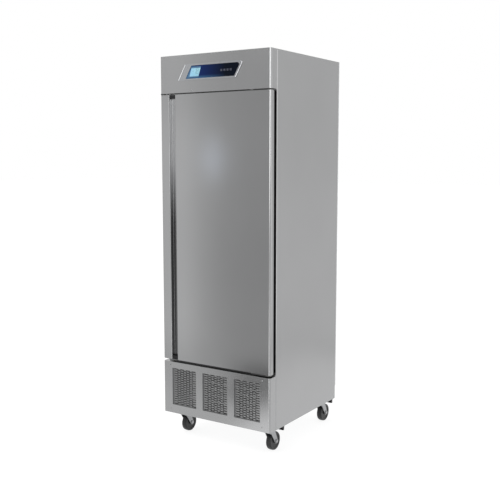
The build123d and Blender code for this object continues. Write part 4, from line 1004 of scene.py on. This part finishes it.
def pedal_ribs(corner):
    """Grip ribs on the pedal's foot pad."""
    move = caster_place(corner)[0]
    swivel = Vector(joint_named(f"caster_swivel_{corner}")["pos_m"])
    pivot = Vector(joint_named(f"brake_press_{corner}")["pos_m"])
    pivot_y = (pivot - swivel).xy.length
    slope = PEDAL_TIP_DROP / (PEDAL_REACH - pivot_y)
    half = PEDAL_WIDTH / 2 - 4.0 * MM
    bm = bmesh.new()
    for k in range(5):
        y = PEDAL_REACH - (5.0 + 6.0 * k) * MM
        z = pivot.z + PEDAL_THICK / 2 - slope * (y - pivot_y) - 0.3 * MM
        wire(bm, [(-half, y, z), (half, y, z)], 1.0 * MM, 10)
    bm.transform(move)
    piece(f"pedal_ribs_{corner}", bm, f"pedal_{corner}", "pedal_black")


PEDAL_TOE_DEPTH = 17.0 * MM
PEDAL_TOE_FALL = 28.0 * MM


def pedal_toe(corner):
    """The pad's far end, rounded over and turned down across the pedal's width."""
    move = caster_place(corner)[0]
    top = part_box(f"brake_pedal_{corner}")[0].z + PEDAL_THICK
    foot = top - PEDAL_TOE_FALL
    near, far = PEDAL_REACH - PEDAL_TOE_DEPTH, PEDAL_REACH + 1.0 * MM
    step = 2.0 * MM
    corners = [(near, top + step), (far, top), (far - 3.0 * MM, foot), (near + step, foot + step)]
    section = rounded(corners, 5.0 * MM, 5)
    half = PEDAL_WIDTH / 2 + 0.5 * MM
    cheek = [(-half, 2.5), (-half + 0.8 * MM, 0.9), (-half + 2.5 * MM, 0.0)]
    cheek += [(-x, inset) for x, inset in reversed(cheek)]
    bm = bmesh.new()
    skin_loops(bm, [[(x, p.x, p.y) for p in grow(section, -inset * MM)] for x, inset in cheek])
    bm.transform(move)
    piece(f"pedal_toe_{corner}", bm, f"pedal_{corner}", "pedal_black")


# Inside

GUARD_R = 77.0 * MM
GUARD_BULGE = 5.0 * MM


def fan_guard():
    """Wire guard over the evaporator fan's opening: domed rings on eight spokes."""
    low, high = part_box("evaporator_fan")
    centre = (low + high) / 2
    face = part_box("evaporator_housing")[0].y - 2.2 * MM

    def on_dome(r, a, back=0.0):
        bulge = (1 - (min(r, GUARD_R) / GUARD_R) ** 2) * GUARD_BULGE
        return (centre.x + r * math.cos(a), face - bulge + back, centre.z + r * math.sin(a))

    bm = bmesh.new()
    for r in (20.0 * MM, 32.0 * MM, 44.0 * MM, 56.0 * MM, 68.0 * MM, GUARD_R):
        wire(bm, [on_dome(r, a) for a in round_turn(64)], 0.9 * MM, 8, closed=True)
    for a in round_turn(8):
        radii = (20.0 * MM, 38.0 * MM, 58.0 * MM, 80.0 * MM)
        wire(bm, [on_dome(r, a + math.pi / 8, 1.6 * MM) for r in radii], 1.1 * MM, 8)
    piece("evaporator_fan_guard", bm, "cabinet", "shelf_wire", 60.0)


def back_screws():
    """Screws down both sides of the back panel and along the top panel's rear edge."""
    low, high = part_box("back_panel")
    side_margin, end_margin = 14.0 * MM, 40.0 * MM
    gaps = 7
    pitch = (high.z - low.z - 2 * end_margin) / gaps
    places = [
        (side * (high.x - side_margin), low.z + end_margin + k * pitch)
        for k in range(gaps + 1) for side in (-1, 1)
    ]
    places += [(k * 150.0 * MM, high.z - side_margin) for k in range(-2, 3)]
    bm = bmesh.new()
    for x, z in places:
        known = len(bm.verts)
        cross_head(bm, (0.0, 0.0, 0.0), 4.0 * MM, 1.6 * MM)
        bm.verts.ensure_lookup_table()
        turned = Matrix.Translation((x, high.y, z)) @ Matrix.Rotation(math.pi, 4, "Z")
        bmesh.ops.transform(bm, matrix=turned, verts=bm.verts[known:])
    piece("back_panel_screws", bm, "cabinet", "screw_steel")


# Studio

def emission_card(name, corners, build):
    """A reflector that only glossy surfaces see; build(tree, axes, glow) sets its light."""
    mesh = bpy.data.meshes.new(name)
    mesh.from_pydata(corners, [], [(0, 1, 2, 3)])
    card = add_object(name, mesh)
    material = bpy.data.materials.new(name)
    material.use_nodes = True
    tree = material.node_tree
    tree.nodes.clear()
    out = tree.nodes.new("ShaderNodeOutputMaterial")
    glow = tree.nodes.new("ShaderNodeEmission")
    tree.links.new(glow.outputs["Emission"], out.inputs["Surface"])
    place = tree.nodes.new("ShaderNodeTexCoord").outputs["Object"]
    axes = tree.nodes.new("ShaderNodeSeparateXYZ")
    tree.links.new(place, axes.inputs["Vector"])
    build(tree, axes.outputs, glow)
    card.data.materials.append(material)
    card.visible_camera = False
    card.visible_diffuse = False
    card.visible_shadow = False
    card.visible_transmission = False
    card.visible_volume_scatter = False


def ramp(tree, value, points):
    """A smooth curve through (position, level) points, as a value."""
    low, high = points[0][0], points[-1][0]
    fit = tree.nodes.new("ShaderNodeMapRange")
    tree.links.new(value, fit.inputs["Value"])
    fit.inputs["From Min"].default_value = low
    fit.inputs["From Max"].default_value = high
    colors = tree.nodes.new("ShaderNodeValToRGB")
    tree.links.new(fit.outputs["Result"], colors.inputs["Fac"])
    stops = colors.color_ramp.elements
    colors.color_ramp.interpolation = "EASE"
    while len(stops) < len(points):
        stops.new(0.5)
    for stop, (position, level) in zip(stops, points):
        stop.position = (position - low) / (high - low)
        stop.color = (level, level, level, 1.0)
    grey = tree.nodes.new("ShaderNodeRGBToBW")
    tree.links.new(colors.outputs["Color"], grey.inputs["Color"])
    return grey.outputs["Val"]


# The ground card's four sides, two of which upright cards share, and the height of those cards.
LEFT = -3.2
FRONT = -3.2
RIGHT = 1.8
REAR = 2.2
CARD_TOP = 3.2


def upright_card(left, right, y):
    """Corners of a card that stands across the Y axis."""
    return [(left, y, 0.0), (right, y, 0.0), (right, y, CARD_TOP), (left, y, CARD_TOP)]


def flat_card(left, front, right, rear, z):
    """Corners of a card that lies flat."""
    return [(left, front, z), (right, front, z), (right, rear, z), (left, rear, z)]


def scaled_sum(tree, base, parts):
    """base plus each part, a product of values and numbers."""
    total = base
    for part in parts:
        value = part[0]
        for factor in part[1:]:
            value = math_node(tree, "MULTIPLY", value, factor)
        total = math_node(tree, "ADD", total, value)
    return total


def soft_spot(tree, x, z, centre, reach):
    """A value that is 1 at the centre and fades out like a bell."""
    squares = []
    for value, middle, width in zip((x, z), centre, reach):
        share = math_node(tree, "DIVIDE", math_node(tree, "SUBTRACT", value, middle), width)
        squares.append(math_node(tree, "MULTIPLY", share, share))
    far = math_node(tree, "ADD", squares[0], squares[1])
    return math_node(tree, "POWER", math.e, math_node(tree, "MULTIPLY", far, -1.0))


def door_card():
    """What the front mirrors: grey, a paler left end, a small soft window and a strip light."""
    def build(tree, axes, glow):
        x, z = axes["X"], axes["Z"]
        grey = ramp(tree, z, [(0.0, 0.67), (0.8, 0.635), (1.8, 0.68), (2.15, 0.64), (CARD_TOP, 0.64)])
        left = ramp(tree, x, [
            (LEFT, 0.43), (-1.35, 0.43), (-1.16, 0.6), (-0.94, 0.2), (-0.75, 0.05), (-0.55, 0.0),
            (0.95, 0.0)])
        left_rise = ramp(tree, z, [(0.0, 0.6), (0.3, 1.0), (1.6, 1.0), (2.1, 0.7), (CARD_TOP, 0.7)])
        strip = ramp(tree, x, [(0.02, 0.0), (0.10, 1.0), (0.56, 1.0), (0.62, 0.0)])
        strip_rise = ramp(tree, z, [(0.0, 3.4), (0.95, 1.3), (1.4, 2.5), (CARD_TOP, 2.5)])
        dim = ramp(tree, x, [(-0.8, 0.0), (-0.6, 1.0), (-0.30, 1.0), (-0.14, 0.0)])
        dim_rise = ramp(tree, z, [(0.0, 1.0), (0.06, 1.0), (0.15, 0.0), (CARD_TOP, 0.0)])
        spot = soft_spot(tree, x, z, (-0.865, 1.545), (0.055, 0.15))
        tree.links.new(mix_node(tree, spot, WHITE, (0.90, 0.98, 1.12)), glow.inputs["Color"])
        parts = [(left, left_rise), (strip, strip_rise), (dim, dim_rise, -0.45), (spot, 0.98)]
        tree.links.new(scaled_sum(tree, grey, parts), glow.inputs["Strength"])
    emission_card("door_card", upright_card(LEFT, right=0.64, y=-1.6), build)


def grip_card():
    """What the door's recessed grip mirrors: dim below, bright above."""
    def build(tree, axes, glow):
        rise = ramp(tree, axes["Z"], [
            (0.0, 0.3), (0.7, 0.3), (0.95, 0.5), (1.2, 1.6), (1.6, 4.4), (CARD_TOP, 5.4)])
        tree.links.new(rise, glow.inputs["Strength"])
    emission_card("grip_card", upright_card(left=0.94, right=2.4, y=-3.0), build)


def edge_card():
    """A bright upright card out to the right, mirrored by the casing's hem."""
    def build(tree, axes, glow):
        glow.inputs["Strength"].default_value = 2.0
    x, front = 2.6, 0.3
    corners = [(x, front, 0.0), (x, REAR, 0.0), (x, REAR, CARD_TOP), (x, front, CARD_TOP)]
    emission_card("edge_card", corners, build)


def ground_card():
    """What the lower panels mirror in the floor: pale, with brighter and darker patches round the base."""
    def build(tree, axes, glow):
        x, y = axes["X"], axes["Y"]
        side_x = ramp(tree, x, [(0.3, 0.0), (0.45, 1.0), (1.15, 1.0), (1.5, 0.0)])
        side_y = ramp(tree, y, [(-0.6, 0.0), (-0.4, 1.0), (1.5, 1.0), (1.8, 0.0)])
        front_x = ramp(tree, x, [(-1.4, 0.0), (-1.2, 1.0), (0.5, 1.0), (0.65, 0.0)])
        front_y = ramp(tree, y, [(-1.22, 0.0), (-1.02, 1.0), (-0.42, 1.0), (-0.38, 0.0)])
        corner_x = ramp(tree, x, [(-0.12, 0.0), (0.0, 1.0), (0.5, 1.0), (0.65, 0.0)])
        dark_x = ramp(tree, x, [(-0.62, 0.0), (-0.5, 1.0), (-0.22, 1.0), (-0.12, 0.0)])
        dark_y = ramp(tree, y, [(FRONT, 1.0), (-1.22, 1.0), (-1.08, 0.0), (REAR, 0.0)])
        grip_x = ramp(tree, x, [(0.6, 0.0), (0.75, 1.0), (RIGHT, 1.0)])
        grip_y = ramp(tree, y, [(FRONT, 1.0), (-1.6, 1.0), (-1.4, 0.0), (REAR, 0.0)])
        parts = [
            (side_x, side_y, 0.22), (front_x, front_y, 0.13), (corner_x, front_y, 0.46),
            (dark_x, dark_y, -0.95), (grip_x, grip_y, -0.5),
        ]
        tree.links.new(scaled_sum(tree, 1.0, parts), glow.inputs["Strength"])
    emission_card("ground_card", flat_card(LEFT, FRONT, RIGHT, REAR, z=2.0 * MM), build)


def floor():
    """A plain pale floor that barely takes a shadow."""
    reach = 40.0
    grey = (0.20, 0.20, 0.20)
    mesh = bpy.data.meshes.new("floor")
    mesh.from_pydata(flat_card(-reach, -reach, reach, reach, 0.0), [], [(0, 1, 2, 3)])
    made = add_object("floor", mesh)
    f = Finish("floor", grey, 0.9, Emission_Strength=0.86, Specular_IOR_Level=0.0)
    f.shader.inputs["Emission Color"].default_value = (*WHITE, 1.0)
    f.set("Base Color", f.mix(f.noise(3.0, 2.0), shade(grey, 0.975), shade(grey, 1.025)))
    made.data.materials.append(f.material)


def world():
    """Even white surroundings."""
    made = bpy.data.worlds.new("studio")
    made.use_nodes = True
    background = made.node_tree.nodes["Background"]
    background.inputs["Color"].default_value = (*WHITE, 1.0)
    background.inputs["Strength"].default_value = 1.0
    bpy.context.scene.world = made


KEY_PLACE = Vector((-1.6, -2.6, 3.6))
KEY_AIM = Vector((0.0, 0.0, 1.0))
KEY_SIZE = (2.4, 1.6)
KEY_WATTS = 45.0


def key_light():
    """A large soft light high in front, for the shape of the darker parts."""
    data = bpy.data.lights.new("key", "AREA")
    data.shape = "RECTANGLE"
    data.size, data.size_y = KEY_SIZE
    data.energy = KEY_WATTS
    light = add_object("key", data)
    light.location = KEY_PLACE
    light.rotation_euler = (KEY_AIM - KEY_PLACE).to_track_quat("-Z", "Y").to_euler()
    light.visible_camera = False


CAMERA_PLACE = (2.4022, -3.7521, 1.5518)
CAMERA_PITCH_DEG = 83.342
CAMERA_YAW_DEG = 32.964
CAMERA_LENS = 56.989
CAMERA_SENSOR = 36.0


def camera():
    """Where the photograph was taken from."""
    data = bpy.data.cameras.new("camera")
    data.lens = CAMERA_LENS
    data.sensor_width = CAMERA_SENSOR
    made = add_object("camera", data)
    made.location = CAMERA_PLACE
    made.rotation_euler = (math.radians(CAMERA_PITCH_DEG), 0.0, math.radians(CAMERA_YAW_DEG))
    bpy.context.scene.camera = made


def main():
    bpy.context.scene.view_settings.view_transform = "Standard"
    camera()
    dress_cad_nodes()
    soften_nodes()
    door_gasket()
    casing_edges()
    fascia_lip()
    display_rim()
    display_digits()
    key_marks()
    cover_screws()
    for corner in CORNERS:
        caster_tyre(corner)
        wheel_hub(corner)
        caster_fastenings(corner)
        fork_lip(corner)
        pedal_ribs(corner)
        pedal_toe(corner)
    plate_bolts()
    fan_guard()
    back_screws()
    world()
    floor()
    door_card()
    grip_card()
    edge_card()
    ground_card()
    key_light()


main()
